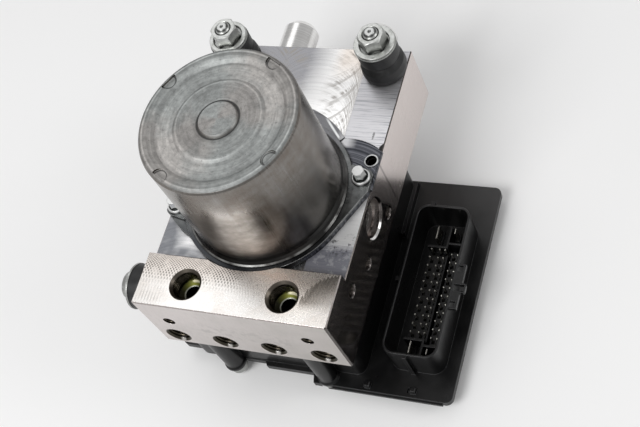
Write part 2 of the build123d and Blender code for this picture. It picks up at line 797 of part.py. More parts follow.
def make_shroud():
    outline = rounded(shroud_left, shroud_right, shroud_front, shroud_back, shroud_corner)
    opening = rounded(shroud_left + shroud_wall, shroud_right - shroud_wall, shroud_front + shroud_wall,
                      shroud_back - shroud_wall, shroud_corner - shroud_wall)
    shroud = plate(outline, root, shroud_top) - plate(opening, deck_top, shroud_top + 1)
    shroud = chamfer(shroud.edges().group_by(Axis.Z)[-1], 0.25)
    # coding ribs on the left, back and front walls
    for x, y, wide, deep in ((shroud_left - 0.5, -10.3, 1.8, 1.6), (50.5, shroud_back + 0.4, 1.6, 1.8),
                             (54.8, shroud_front - 0.4, 1.6, 1.8)):
        shroud += block(x - wide / 2, x + wide / 2, y - deep / 2, y + deep / 2, root, shroud_top - 0.1)
    return shroud + make_catches()


def make_catches():
    """Ledge outside the right wall with three catch pockets; the middle one reaches further out."""
    ledge = block(shroud_right - 0.4, catch_right, -20.3, -1.2, catch_low, shroud_top - 0.1)
    tongue = block(catch_right - 1, middle_catch_right, -13.4, -9.3, catch_low, shroud_top - 0.1)
    ledge += fillet(tongue.edges().filter_by(Axis.Z).group_by(Axis.X)[-1], 0.9)
    for y_low, y_high, right in ((-4.4, -1.8, 69.3), (-12.8, -9.9, 71.3), (-19.7, -17.2, 69.3)):
        ledge -= block(shroud_right + 0.2, right, y_low, y_high, catch_low - 1, shroud_top)
    return ledge + block(69.6, 71.5, -12.2, -10.6, catch_low, shroud_top - 0.7)


def make_boss(x, y):
    """Screw pillar from the flange plate up to the block, on a coned foot."""
    foot = turned([(0, root), (boss_radius + 0.6, root), (boss_radius + 0.6, deck_top + 0.6),
                   (boss_radius, deck_top + 1.4), (0, deck_top + 1.4)])
    return rod(x, y, boss_low, block_bottom - 0.02, boss_radius) + Pos(x, y, 0) * foot


def make_deck_clips():
    """Small latch blocks and ribs that stand on the flange plate."""
    low_clip = deck_top + 2.0
    return [
        chamfer(block(36.4, 38.9, -51.4, -49.0, root, low_clip).edges().group_by(Axis.Z)[-1], 0.4),
        chamfer(block(55.2, 57.6, -51.0, -48.9, root, low_clip).edges().group_by(Axis.Z)[-1], 0.4),
        block(box_right - 0.5, box_right + 1.6, 15.5, 40.5, root, deck_top + 3.6),
        block(28, 35, -40.6, -39.8, root, deck_top + 4),
    ]


def make_unit_housing():
    top = block_bottom - seal_height
    housing = plate(plate_outline(), deck_bottom, deck_top)
    housing += plate(rounded(box_left, box_right, box_front, box_back, 4), deck_bottom, top)
    housing -= plate(rounded(box_left + box_wall, box_right - box_wall, box_front + box_wall,
                             box_back - box_wall, 3), deck_bottom - 1, top + 1)
    for x, y in unit_screw_places:
        housing += make_boss(x, y)
    housing += make_shroud()
    for piece in make_dividers() + make_insulators() + make_deck_clips():
        housing += piece
    for x, y, long in blade_places:
        housing += make_collar(x, y, long)
    for x, y in unit_screw_places:
        housing -= rod(x, y, 0, block_bottom + 1, unit_screw_radius + 0.25)
    for x, y, long in blade_places:
        housing -= block(x - blade_half - 0.02, x + blade_half + 0.02,
                         y - long / 2 - 0.02, y + long / 2 + 0.02, 0, blade_top)
    guides = []
    for x, y in pin_places():
        hole = pin_half + 0.01
        well_low = insulator_top - well_depth
        guides.append(block(x - hole, x + hole, y - hole, y + hole, 0, insulator_top))
        guides.append(block(x - well_wide_half, x + well_near_half, y - well_long_half, y + well_near_half,
                            well_low, insulator_top + 0.5))
    housing -= guides
    housing -= block(53.9, 54.4, -50.9, -48.8, deck_bottom - 1, deck_top + 1)
    return housing


def make_signal_pins():
    for x, y in pin_places():
        pin = block(x - pin_half, x + pin_half, y - pin_half, y + pin_half, board_top, pin_top)
        yield chamfer(pin.edges().group_by(Axis.Z)[-1], 0.15)


def make_power_blades():
    for x, y, long in blade_places:
        blade = block(x - blade_half, x + blade_half, y - long / 2, y + long / 2, board_top, blade_top)
        yield chamfer(blade.edges().group_by(Axis.Z)[-1].filter_by(Axis.Y), 0.25)


def make_cover():
    cover = plate(plate_outline(), cover_top - cover_flange, cover_top)
    cover += block(21, 68.5, plate_front - cover_lip, plate_front + 1, cover_top - cover_flange, cover_top)
    cover += plate(rounded(-43, 67.4, -39.6, 37.8, 4), cover_bottom, cover_top)
    cover -= plate(rounded(-43 + pan_wall, 67.4 - pan_wall, -39.6 + pan_wall, 37.8 - pan_wall, 3),
                   cover_bottom + pan_wall, cover_top + 1)
    for x, y in unit_screw_places:
        cover -= rod(x, y, -1, 20, 4.6)
    return cover


def make_board():
    board = plate(rounded(-40.5, 64.9, -38.0, 35.4, 2.5), board_top - board_thickness, board_top)
    for x, y in unit_screw_places:
        board -= rod(x, y, 0, 20, 5.0)
    return board


def make_seal():
    inside = rounded(box_left + box_wall, box_right - box_wall, box_front + box_wall, box_back - box_wall, 3)
    ring = plate(rounded(box_left, box_right, box_front, box_back, 4), block_bottom - seal_height,
                 block_bottom)
    ring -= plate(inside, block_bottom - 3, block_bottom + 3)
    for x, y in unit_screw_places:
        ring -= rod(x, y, 0, 60, boss_radius + 0.02)
    return ring


def make_unit_screw(x, y):
    head_low = boss_low - 3.2
    screw = rod(x, y, head_low, boss_low, 3.6)
    screw += rod(x, y, boss_low, block_bottom + 8, unit_screw_radius - 0.32)
    socket = Pos(x, y, head_low - 0.1) * extrude(RegularPolygon(1.9, 6), 1.8)
    return screw - socket


# ---- write every sub-part -----------------------------------------------------------------
save("valve_block", make_valve_block())
save("ball_plugs", *make_ball_plugs())
for side, word in ((-1, "left"), (1, "right")):
    save(f"pump_liner_{word}", make_pump_liner(side))
    save(f"pump_piston_{word}", make_pump_piston(side))
    save(f"pump_spring_{word}", make_pump_spring(side))
    save(f"pump_plug_{word}", make_pump_plug(side))
    save(f"accumulator_cap_{word}", make_accumulator_cap(side * accumulator_x))
    save(f"accumulator_piston_{word}", make_accumulator_piston(side * accumulator_x))
    save(f"accumulator_spring_{word}", make_accumulator_spring(side * accumulator_x))

save("motor_can", make_motor_can())
save("motor_flange", make_motor_flange())
save("motor_screws", *[make_motor_screw(x, y) for x, y in ear_places])
save("motor_magnets", *make_magnets())
save("rotor_core", make_rotor_core())
save("rotor_windings", *make_windings())
save("motor_shaft", make_motor_shaft())
save("commutator", make_commutator())
save("eccentric", make_eccentric())
save("eccentric_ring", make_eccentric_ring())
save("front_bearing", make_bearing(block_top - spigot_depth + 0.4, flange_top - 1.5))
save("rear_bearing", make_bearing(can_top - 9.0, can_top - 3.7))
save("brush_holder", make_brush_holder())
save("brushes", *make_brushes())
save("motor_terminals", *make_terminals())
save("terminal_sleeve", make_terminal_sleeve())

for word, y in (("inlet", inlet_valve_y), ("outlet", outlet_valve_y)):
    save(f"{word}_valve_bodies", *[make_valve_body(x, y) for x in valve_xs])
    for number, x in enumerate(valve_xs, 1):
        save(f"{word}_plunger_{number}", make_plunger(x, y))
valve_places = [(x, y) for y in (inlet_valve_y, outlet_valve_y) for x in valve_xs]
save("valve_coils", *[make_coil(x, y) for x, y in valve_places])
save("coil_yokes", *[make_yoke(x, y) for x, y in valve_places])

mount_places = [Pos(-mount_x, mount_y, block_top), Pos(mount_x, mount_y, block_top)]
save("rubber_bushes", *[place * make_bush() for place in mount_places])
save("mount_studs", *[place * make_stud() for place in mount_places])
save("mount_washers", *[place * make_washer(rim) for place, rim in zip(mount_places, washer_rims)])
save("mount_nuts", *[place * make_nut(turn) for place, turn in zip(mount_places, nut_turns)])
save("side_bush", make_side_bush())
save("side_mount_pin", make_side_pin())

save("unit_housing", make_unit_housing())
save("unit_cover", make_cover())
save("unit_seal", make_seal())
save("unit_screws", *[make_unit_screw(x, y) for x, y in unit_screw_places])
save("circuit_board", make_board())
save("signal_pins", *make_signal_pins())
save("power_blades", *make_power_blades())
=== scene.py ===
import math
import bmesh
import bpy
from mathutils import Matrix, Vector


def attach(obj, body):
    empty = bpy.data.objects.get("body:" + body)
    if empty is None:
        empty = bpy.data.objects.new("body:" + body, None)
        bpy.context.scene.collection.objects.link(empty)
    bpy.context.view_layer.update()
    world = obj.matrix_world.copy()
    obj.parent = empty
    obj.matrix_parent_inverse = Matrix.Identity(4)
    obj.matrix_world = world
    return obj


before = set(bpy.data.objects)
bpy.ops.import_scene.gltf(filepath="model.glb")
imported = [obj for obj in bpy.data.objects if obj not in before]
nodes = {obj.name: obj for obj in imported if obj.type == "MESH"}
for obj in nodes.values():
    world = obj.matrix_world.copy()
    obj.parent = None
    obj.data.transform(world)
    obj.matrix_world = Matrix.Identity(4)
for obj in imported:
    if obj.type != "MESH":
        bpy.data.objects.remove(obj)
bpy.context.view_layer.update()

mm = 0.001
print("frame loaded:", len(nodes), "CAD nodes")

# node makers: each one adds to the material that startFinish opened last
opened = {"tree": None}


class Wire:
    # a node's output that adds, subtracts and multiplies like a number
    def __init__(self, socket):
        self.socket = socket

    def __add__(self, other):
        return calc("ADD", self, other)

    def __radd__(self, other):
        return calc("ADD", other, self)

    def __sub__(self, other):
        return calc("SUBTRACT", self, other)

    def __rsub__(self, other):
        return calc("SUBTRACT", other, self)

    def __mul__(self, other):
        return calc("MULTIPLY", self, other)

    def __truediv__(self, other):
        return calc("DIVIDE", self, other)

    def __abs__(self):
        return calc("ABSOLUTE", self)


def feed(socket, value):
    if isinstance(value, Wire):
        opened["tree"].links.new(value.socket, socket)
    else:
        socket.default_value = value


def addNode(kind, inputs=None, **settings):
    node = opened["tree"].nodes.new("ShaderNode" + kind)
    for key, value in settings.items():
        setattr(node, key, value)
    for key, value in (inputs or {}).items():
        feed(node.inputs[key], value)
    return node


def wire(kind, inputs=None, output=0, **settings):
    return Wire(addNode(kind, inputs, **settings).outputs[output])


def startFinish(name, **constants):
    # a new material with one Principled shader; the constants sit on the shader's own sockets
    material = bpy.data.materials.new(name)
    material.use_nodes = True
    opened["tree"] = material.node_tree
    opened["tree"].nodes.clear()
    shader = addNode("BsdfPrincipled")
    addNode("OutputMaterial", {"Surface": Wire(shader.outputs[0])})
    for key, value in constants.items():
        shader.inputs[key].default_value = value
    return material, shader


def calc(how, *values, clamp=False):
    return wire("Math", dict(enumerate(values)), operation=how, use_clamp=clamp)


def spread(value, low, high, toLow=0.0, toHigh=1.0, smooth=False):
    # 0 at low and 1 at high, even between; low may be the larger of the two
    return wire("MapRange", {"Value": value, "From Min": low, "From Max": high, "To Min": toLow,
                             "To Max": toHigh}, interpolation_type="SMOOTHSTEP" if smooth else "LINEAR")


def ramp(value, *stops):
    node = addNode("ValToRGB", {"Fac": value})
    band = node.color_ramp
    while len(band.elements) < len(stops):
        band.elements.new(0.5)
    for element, (place, tint) in zip(band.elements, stops):
        element.position = place
        element.color = (*tint, 1)
    return Wire(node.outputs[0])


def blendTint(amount, first, second, how="MIX"):
    tints = (tint if isinstance(tint, Wire) else (*tint, 1) for tint in (first, second))
    return wire("Mix", {0: amount, **dict(zip((6, 7), tints))}, output=2, data_type="RGBA", blend_type=how)


def mixValue(amount, first, second):
    return wire("Mix", {0: amount, 2: first, 3: second}, data_type="FLOAT")


def stretched(coords, scale):
    return wire("Mapping", {"Vector": coords, "Scale": scale})


def noise(coords, scale, detail=3.0, rough=0.5, distort=0.0):
    return wire("TexNoise", {"Vector": coords, "Scale": scale, "Detail": detail, "Roughness": rough,
                             "Distortion": distort})


def lineNoise(value, pitch, detail=1.0, rough=0.5):
    # irregular lines of about this pitch across a distance
    return wire("TexNoise", {"W": value, "Scale": 1 / pitch, "Detail": detail, "Roughness": rough},
                noise_dimensions="1D")


def stripes(value, pitch):
    # even lines of this pitch, 0 to 1
    return calc("MULTIPLY_ADD", calc("SINE", value * (2 * math.pi / pitch)), 0.5, 0.5)


def parts(vector):
    return [Wire(output) for output in addNode("SeparateXYZ", {"Vector": vector}).outputs]


def mmCoords():
    # every pattern below is laid out in millimetres in the part's own frame
    return stretched(wire("TexCoord", output="Object"), (1000, 1000, 1000))


def facing():
    return parts(wire("NewGeometry", output="Normal"))


def farFrom(x, y, centreX, centreY):
    dx = x - centreX
    dy = y - centreY
    return calc("SQRT", dx * dx + dy * dy)


def nearest(distances):
    closest = distances[0]
    for distance in distances[1:]:
        closest = calc("MINIMUM", closest, distance)
    return closest


def bumpFrom(height, strength, reliefMm, normal):
    return wire("Bump", {"Height": height, "Strength": strength, "Distance": reliefMm * mm, "Normal": normal})


def closeFinish(shader, tint, rough, normal):
    for key, value in (("Base Color", tint), ("Roughness", rough), ("Normal", normal)):
        feed(shader.inputs[key], value)


def softEdge(radiusMm):
    # rounded-over normal of sharp edges, and a mask that is 1 along them
    rounded = wire("Bevel", {"Radius": radiusMm * mm}, samples=6)
    flat = wire("NewGeometry", output="Normal")
    dot = wire("VectorMath", {0: rounded, 1: flat}, output="Value", operation="DOT_PRODUCT")
    return rounded, spread(dot, 0.98, 0.82)


def openness(reachMm, samples):
    # 1 on open faces, falling towards 0 deep in a corner
    return wire("AmbientOcclusion", {"Distance": reachMm * mm}, output="AO", samples=samples)


def dress(nodeName, material):
    # a CAD node keeps its own mesh and takes a better material
    materials = nodes[nodeName].data.materials
    materials.clear()
    materials.append(material)


# camera, floor and light
camera = {"place": (0.2052409, -0.1975561, 0.4389621), "lens": 69.09, "sensor": 36, "clip": (0.01, 20),
          "right": (0.9134471, 0.26640763, -0.30763837), "down": (0.08916457, -0.86859542, -0.48743377),
          "ahead": (-0.39706935, 0.41781452, -0.81717009)}


def placeCamera():
    data = bpy.data.cameras.new("camera")
    data.lens = camera["lens"]
    data.sensor_width = camera["sensor"]
    data.clip_start, data.clip_end = camera["clip"]
    obj = bpy.data.objects.new("camera", data)
    axes = [Vector(camera["right"]), -Vector(camera["down"]), -Vector(camera["ahead"])]
    turn = Matrix(axes).transposed().to_4x4()
    obj.matrix_world = Matrix.Translation(camera["place"]) @ turn
    bpy.context.scene.collection.objects.link(obj)
    bpy.context.scene.camera = obj


studio = {"floorTint": (0.90, 0.90, 0.90), "floorRough": 0.8, "floorHalf": 3.0,
          "worldTint": (1.0, 1.0, 1.0), "worldPower": 0.46, "lampTarget": (0, 0, 0.05),
          # name, place, size, power
          "lamps": (("key", (-0.50, 0.52, 1.02), 0.75, 1.6), ("front", (-0.24, -0.72, 1.0), 0.55, 8.0),
                    ("side", (0.95, 0.20, 0.65), 0.45, 2.0))}


def lightStudio():
    scene = bpy.context.scene
    scene.view_settings.view_transform = "Standard"
    world = bpy.data.worlds.new("studio")
    scene.world = world
    world.use_nodes = True
    background = world.node_tree.nodes["Background"]
    background.inputs["Color"].default_value = (*studio["worldTint"], 1)
    background.inputs["Strength"].default_value = studio["worldPower"]
    for name, place, size, power in studio["lamps"]:
        data = bpy.data.lights.new(name, "AREA")
        data.size = size
        data.energy = power
        lamp = bpy.data.objects.new(name, data)
        lamp.location = place
        aim = Vector(studio["lampTarget"]) - Vector(place)
        lamp.rotation_euler = aim.to_track_quat("-Z", "Y").to_euler()
        scene.collection.objects.link(lamp)


def layFloor():
    mesh = bpy.data.meshes.new("floor")
    half = studio["floorHalf"]
    corners = [(-half, -half, 0), (half, -half, 0), (half, half, 0), (-half, half, 0)]
    mesh.from_pydata(corners, [], [(0, 1, 2, 3)])
    floor = bpy.data.objects.new("floor", mesh)
    bpy.context.scene.collection.objects.link(floor)
    constants = {"Roughness": studio["floorRough"], "Base Color": (*studio["floorTint"], 1)}
    mesh.materials.append(startFinish("paleFloor", **constants)[0])


placeCamera()
lightStudio()
layFloor()
print("camera, floor and light placed")


# valve block: face-milled aluminium, ports tinted olive by their passivation, with painted shade and painted
# light inside them
blockMetal = {
    "side": (0.735, 0.665, 0.64), "edge": (0.80, 0.79, 0.78), "creviceShade": (0.07, 0.065, 0.06),
    "brokenEdge": (0.11, 0.10, 0.095), "stakedEdgeHighlight": (0.75, 0.74, 0.73),
    # low face beside and behind the motor
    "main": (0.68, 0.675, 0.67), "mainShade": (0.27, 0.27, 0.285), "mainHighlight": (0.97, 0.965, 0.96),
    "dash": (0.27, 0.255, 0.24), "motorShade": (0.185, 0.19, 0.205), "warmEnd": (1.0, 0.93, 0.87),
    "cutterRadius": 19.2, "passCentres": (3.4, -28.8), "passMeets": -12.5, "lowZ": (61.5, 62.0),
    # strip along the right-hand edge of the low face
    "strip": (0.68, 0.675, 0.70), "lineDark": (0.22, 0.22, 0.25), "lineDull": (0.46, 0.46, 0.49),
    "linePale": (0.80, 0.80, 0.83), "stripHighlightLift": (1.3, 1.3, 1.29), "stripWhite": (0.96, 0.96, 0.95),
    "stripFrontShade": (0.25, 0.255, 0.30), "scuff": (0.75, 0.75, 0.77), "smear": (0.08, 0.08, 0.085),
    "scar": (0.08, 0.08, 0.08), "scarX": 34.6, "gap": (0.02, 0.02, 0.02), "stripFrom": 22.7,
    # raised step
    "stepPale": (0.93, 0.905, 0.88), "stepDull": (0.70, 0.635, 0.585), "stepRose": (0.76, 0.63, 0.56),
    "stepCloud": (0.76, 0.69, 0.64), "stepLeft": (0.62, 0.59, 0.56), "stopped": (0.36, 0.335, 0.31),
    "comb": (0.20, 0.18, 0.165), "dot": (0.085, 0.075, 0.065), "toothPitch": 1.3, "toothDepth": 0.9,
    "stepCutter": 17.0, "stepCentreY": -48.0, "stopCentre": (42.0, -46.6), "stopRadius": 14.6,
    # front face
    "frontPale": (0.66, 0.615, 0.60), "frontDull": (0.47, 0.445, 0.42), "smudge": (0.34, 0.32, 0.31),
    "streak": (0.40, 0.37, 0.35),
}
portCoat = {"mouth": (0.115, 0.100, 0.084), "wall": (0.036, 0.029, 0.021), "spot": (0.11, 0.095, 0.075),
            "low": (0.60, 0.57, 0.40), "seat": (0.15, 0.155, 0.028), "seatDark": (0.022, 0.021, 0.010),
            "lip": (0.42, 0.43, 0.37), "bore": (0.02, 0.02, 0.02), "wheel": (0.055, 0.05, 0.038),
            "wheelPale": (0.62, 0.60, 0.57), "bracket": (0.015, 0.014, 0.013)}

# where the CAD block has its faces and holes, in mm
stepTopZ = 67.6
frontFaceY = -52.8
portsEndY = (-30.0, -31.0)
inletPlaces = ((-20.0, -42.7), (20.0, -42.7))
inletEdge = (6.64, 6.54)
inletSeatZ = 60.25
flangeHole = (37.4, 18.1)
locatingZ = (64.6, 64.4)
wheelPortXs = (-31.75, -11.05, 9.65, 30.35)
wheelPortZ = 40.1
wheelPortEdge = (5.8, 5.5)
bracketHoles = ((-29.7, 53.7), (28.3, 53.7))
bracketHoleEdge = (3.0, 2.8)


def blockZones(x, z, ny, nz):
    # masks of the front face, the raised step, the strip at the right-hand edge and the rest of the low face
    up = spread(nz, 0.7, 0.9)
    front = spread(ny, -0.7, -0.9)
    step = up * spread(z, stepTopZ - 1.0, stepTopZ - 0.6)
    low = up * spread(z, stepTopZ - 1.0, stepTopZ - 1.6) * spread(z, *blockMetal["lowZ"])
    strip = low * spread(x, blockMetal["stripFrom"] - 0.1, blockMetal["stripFrom"] + 0.1)
    main = calc("SUBTRACT", low, strip, clamp=True)
    return front, step, strip, main


def cutterPass(along, across, radius, side):
    # place of the face cutter's rim when it swept a point, before (1) or behind (-1) its centre
    half = calc("SQRT", calc("MAXIMUM", radius * radius - across * across, 0.0))
    return along + half if side < 0 else along - half


def millMarks(x, y):
    # crossing scallops left by the cutter's leading and trailing rim on the main face
    centres = blockMetal["passCentres"]
    leftPass = calc("LESS_THAN", x, blockMetal["passMeets"])
    across = x - mixValue(leftPass, centres[0], centres[1])
    lead = cutterPass(y, across, blockMetal["cutterRadius"], 1)
    trail = cutterPass(y, across, blockMetal["cutterRadius"], -1)
    return lead, trail, across


def mainTint(ground, x, y, lead, trail, across):
    # feathered dashes where the rims' lines meet, close lines at the end of the pass, painted shade over the
    # far corner, a painted highlight towards the front and painted shade beside the motor
    side = abs(across)
    patches = spread(noise(ground, 0.13, 2.0), 0.36, 0.5)
    strokes = spread(lineNoise(lead, 2.1, 2.0, 0.55), 0.56, 0.4)
    bands = spread(lineNoise(trail, 5.6, 2.0, 0.55), 0.58, 0.4)
    sweeps = spread(lineNoise(trail, 4.2, 2.0, 0.5), 0.4, 0.3)
    region = spread(side, 3.0, 9.0) * spread(side, 19.6, 17.5, 0.5, 1.0)
    dashes = calc("MAXIMUM", strokes * bands, sweeps * 0.7) * region * patches
    endLines = spread(side, 14.5, 17.6) * spread(lineNoise(lead, 1.1, 3.0, 0.7), 0.44, 0.58)
    brushed = noise(stretched(ground, (0.08, 0.7, 1.0)), 1.0, 3.0, 0.6)
    far = spread(x + brushed * 6.0, 12.0, 0.0) * spread(y - x, 42.0, 60.0, 0.35, 1.0)
    left = spread(x, -28.0, -34.0) * spread(y, 20.0, 5.0)
    slivers = spread(y, -23.5, -26.5) * spread(x, 12.0, -4.0, 0.25, 1.0)
    # painted highlight: paler towards the front
    tint = blendTint(spread(y, 47.0, 35.0), blockMetal["main"], blockMetal["mainHighlight"])
    tint = blendTint(far, tint, blockMetal["mainShade"])
    tint = blendTint(spread(brushed, 0.5, 0.7, 0.0, 0.16), tint, blockMetal["mainShade"])
    tint = blendTint(dashes * 0.85, tint, blockMetal["dash"])
    tint = blendTint(endLines * 0.85, tint, blockMetal["dash"])
    warmEnd = spread(y, 54.0, 64.0) * spread(x, 8.0, 13.0)
    tint = blendTint(warmEnd, tint, blendTint(1.0, tint, blockMetal["warmEnd"], "MULTIPLY"))
    # painted shade on the face beside the motor and in the sliver in front of it
    near = calc("MAXIMUM", left, slivers)
    return blendTint(near * spread(patches, 0.0, 1.0, 0.75, 1.0), tint, blockMetal["motorShade"])


def stripTint(ground, x, y):
    # short dark cross lines, a small scar, a painted highlight towards the front, painted shade at the front
    # end and a painted shadow in the corner beside the leaf
    lines = noise(stretched(ground, (0.06, 2.4, 1.0)), 1.0, 3.0, 0.65)
    tint = ramp(lines, (0.3, blockMetal["lineDark"]), (0.41, blockMetal["lineDull"]),
                (0.47, blockMetal["strip"]), (0.58, blockMetal["strip"]), (0.7, blockMetal["linePale"]))
    wobble = (noise(ground, 1.6, 2.0) - 0.5) * 1.3
    offScar = abs(x + wobble - blockMetal["scarX"])
    scar = spread(offScar, 0.42, 0.2) * spread(y, 28.2, 28.6) * spread(y, 32.0, 31.4)
    tint = blendTint(scar * 0.75, tint, blockMetal["scar"])
    # painted highlight: lighter towards the front
    highlighted = blendTint(1.0, tint, blockMetal["stripHighlightLift"], "MULTIPLY")
    tint = blendTint(spread(y, 46.0, 33.0, 0.0, 0.7), tint, highlighted)
    white = spread(y, -18.5, -15.5) * spread(y, 9.0, 0.0)
    tint = blendTint(white * 0.85, tint, blockMetal["stripWhite"])
    scuffs = noise(ground, 0.42, 4.0, 0.7)
    wobbly = y + scuffs * 5.0
    # painted shade at the front end of the strip
    tint = blendTint(spread(wobbly, -15.0, -18.0, 0.0, 0.9), tint, blockMetal["stripFrontShade"])
    tint = blendTint(spread(scuffs, 0.54, 0.6) * spread(y, -15.0, -18.0) * 0.4, tint, blockMetal["scuff"])
    smear = spread(scuffs, 0.44, 0.38) * spread(y, -12.0, -16.0) * spread(y, -24.0, -20.0)
    tint = blendTint(smear * 0.8, tint, blockMetal["smear"])
    # painted shadow behind the leaf's corner
    corner = spread(x, 38.1, 38.5) * spread(y, 23.0, 23.3) * spread(y - x * 1.25, -22.2, -22.6)
    return blendTint(corner, tint, blockMetal["gap"]), lines


def stepMarks(x, y, ground):
    across = y - blockMetal["stepCentreY"]
    lead = cutterPass(x, across, blockMetal["stepCutter"], 1)
    trail = cutterPass(x, across, blockMetal["stepCutter"], -1)
    pitch = blockMetal["toothPitch"]
    crossing = stripes(lead, pitch) * stripes(trail, pitch)
    patches = spread(noise(ground, 0.25, 2.0), 0.34, 0.5, 0.35, 1.0)
    back = spread(x, 6.0, -2.0) * spread(y, -44.0, -37.5)
    front = spread(x, -26.0, -31.0) * spread(y, -41.0, -44.0) * 0.25
    left = calc("MAXIMUM", back, front) * patches
    dots = spread(crossing, 0.26, 0.48) * left
    teeth = stripes(x, pitch)
    past = farFrom(x, y, *blockMetal["stopCentre"]) + teeth * -blockMetal["toothDepth"]
    reach = blockMetal["stopRadius"]
    stopped = (spread(past, reach, reach - 0.25) * spread(past, reach - 9.0, reach - 1.2, 0.35, 1.0)
               * spread(y, -46.8, -43.5) * spread(x, 24.0, 26.0))
    lean = x - y * 0.35
    comb = (stopped * spread(past, reach - 7.0, reach - 1.0) * patches
            * spread(lineNoise(lean, 1.3, 2.0, 0.6), 0.46, 0.58))
    return lead, dots, stopped, comb


def stepTint(ground, x, y, dots, stopped, comb):
    smear = noise(stretched(ground, (0.09, 0.22, 1.0)), 1.0, 4.0, 0.6)
    back = spread(y + smear * 8.0, -41.5, -30.5)
    tint = blendTint(back, blockMetal["stepPale"], blockMetal["stepDull"])
    rose = spread(x, 2.0, 9.0) * spread(x, 27.0, 22.0) * spread(y, -38.5, -34.0)
    tint = blendTint(rose * spread(smear, 0.38, 0.6), tint, blockMetal["stepRose"])
    cloud = noise(ground, 0.11, 3.0, 0.6)
    tint = blendTint(spread(cloud, 0.46, 0.68, 0.0, 0.45), tint, blockMetal["stepCloud"])
    tint = blendTint(spread(x, -24.0, -40.0, 0.0, 0.45), tint, blockMetal["stepLeft"])
    rightPale = spread(x, 22.0, 27.0) * spread(y, -37.0, -33.0)
    tint = blendTint(rightPale * 0.6, tint, blockMetal["stepPale"])
    tint = blendTint(stopped * 0.95, tint, blockMetal["stopped"])
    tint = blendTint(comb * 0.55, tint, blockMetal["comb"])
    return blendTint(dots * 0.95, tint, blockMetal["dot"])


def portTint(tint, x, y, z, cloud):
    # inside of the inlet ports, the wheel ports and the bracket holes, with painted shade in the deep bores
    # and holes and painted light low in the ports; clear is 1 outside them all
    inlet = nearest([farFrom(x, y, px, py) for px, py in inletPlaces])
    wheel = nearest([farFrom(x, z, px, wheelPortZ) for px in wheelPortXs])
    bracket = nearest([farFrom(x, z, px, pz) for px, pz in bracketHoles])
    inFront = spread(y, frontFaceY + 0.04, frontFaceY + 0.2) * spread(y, *portsEndY)
    inInlet = spread(inlet, *inletEdge) * spread(y, *portsEndY)
    inWheel = spread(wheel, *wheelPortEdge) * inFront
    inBracket = spread(bracket, *bracketHoleEdge) * inFront
    inside = blendTint(spread(z, 67.0, 65.2), portCoat["mouth"], portCoat["wall"])
    inside = blendTint(spread(cloud, 0.48, 0.68, 0.0, 0.5), inside, portCoat["spot"])
    centreX, centreY = inletPlaces[1]
    localX = (abs(x) - centreX) * calc("SIGN", x)
    behind = y - centreY + localX * 0.35
    # painted light on the lower back wall of the inlets
    band = spread(z, 61.5, 60.8) * spread(behind, 2.6, 3.8)
    inside = blendTint(band, inside, portCoat["low"])
    glint = (spread(inlet, 4.5, 4.9) * spread(behind, 3.2, 4.4) * spread(localX, 3.4, 2.2)
             * spread(localX, -2.2, -1.0))
    seat = blendTint(spread(behind + cloud * 1.5, -0.5, 3.2), portCoat["seatDark"], portCoat["seat"])
    seat = blendTint(glint, seat, portCoat["low"])
    seat = blendTint(spread(inlet, 3.75, 3.4), seat, portCoat["lip"])
    inside = blendTint(spread(z, inletSeatZ + 0.05, inletSeatZ - 0.05), inside, seat)
    # painted shade in the small bore below the seat
    inside = blendTint(spread(inlet, 3.24, 3.22) * spread(z, 59.3, 59.0), inside, portCoat["bore"])
    tint = blendTint(inInlet, tint, inside)
    pitch = wheelPortXs[1] - wheelPortXs[0]
    besideWheel = calc("WRAP", x - wheelPortXs[0], pitch / 2, -pitch / 2)
    lit = spread(abs(besideWheel), 1.3, 0.5) * spread(z - wheelPortZ, -2.4, -3.2)
    tint = blendTint(inWheel, tint, blendTint(lit, portCoat["wheel"], portCoat["wheelPale"]))
    # painted shade in the locating hole
    locating = spread(farFrom(x, y, *flangeHole), 2.7, 2.5) * spread(z, *locatingZ)
    tint = blendTint(locating, tint, portCoat["bore"])
    clear = nearest([1.0 - zone for zone in (inInlet, inWheel, inBracket)])
    # painted shade in the bracket holes
    return blendTint(inBracket, tint, portCoat["bracket"]), clear


def frontTint(ground, x, z, cloud):
    # paler at the upper left, smudged in the middle, finely streaked upright
    shift = x * 0.01 + (z * -0.01 + cloud)
    tint = blendTint(spread(shift, -0.4, 0.55), blockMetal["frontPale"], blockMetal["frontDull"])
    tint = blendTint(spread(x, 22.0, 40.0, 0.0, 0.35), tint, blockMetal["frontDull"])
    smudges = (spread(noise(ground, 0.3, 4.0, 0.65), 0.5, 0.6) * spread(z, 57.0, 52.0) * spread(z, 43.0, 46.0)
               * spread(abs(x), 24.0, 18.0))
    tint = blendTint(smudges * 0.35, tint, blockMetal["smudge"])
    streaks = noise(stretched(ground, (1.3, 1.0, 0.25)), 1.0, 3.0, 0.6)
    return blendTint(spread(streaks, 0.52, 0.72, 0.0, 0.25), tint, blockMetal["streak"])


def chamferTint(tint, x, y, z, nx):
    # dark broken edges on the right-hand side, painted as shade, with a painted highlight crescent on the
    # staked chamfer below the pump plug
    broken = spread(nx, 0.25, 0.4) * spread(nx, 0.97, 0.9) * spread(x, 39.0, 39.4)
    offPlug = farFrom(y, z, 0.0, plugSteel["z"])
    crescentHighlight = spread(offPlug, 9.5, 9.0) * spread(z - plugSteel["z"], 0.5, -3.5) * spread(y, 4.0, 0.0)
    return blendTint(broken, tint, blendTint(crescentHighlight, blockMetal["brokenEdge"], blockMetal["stakedEdgeHighlight"]))


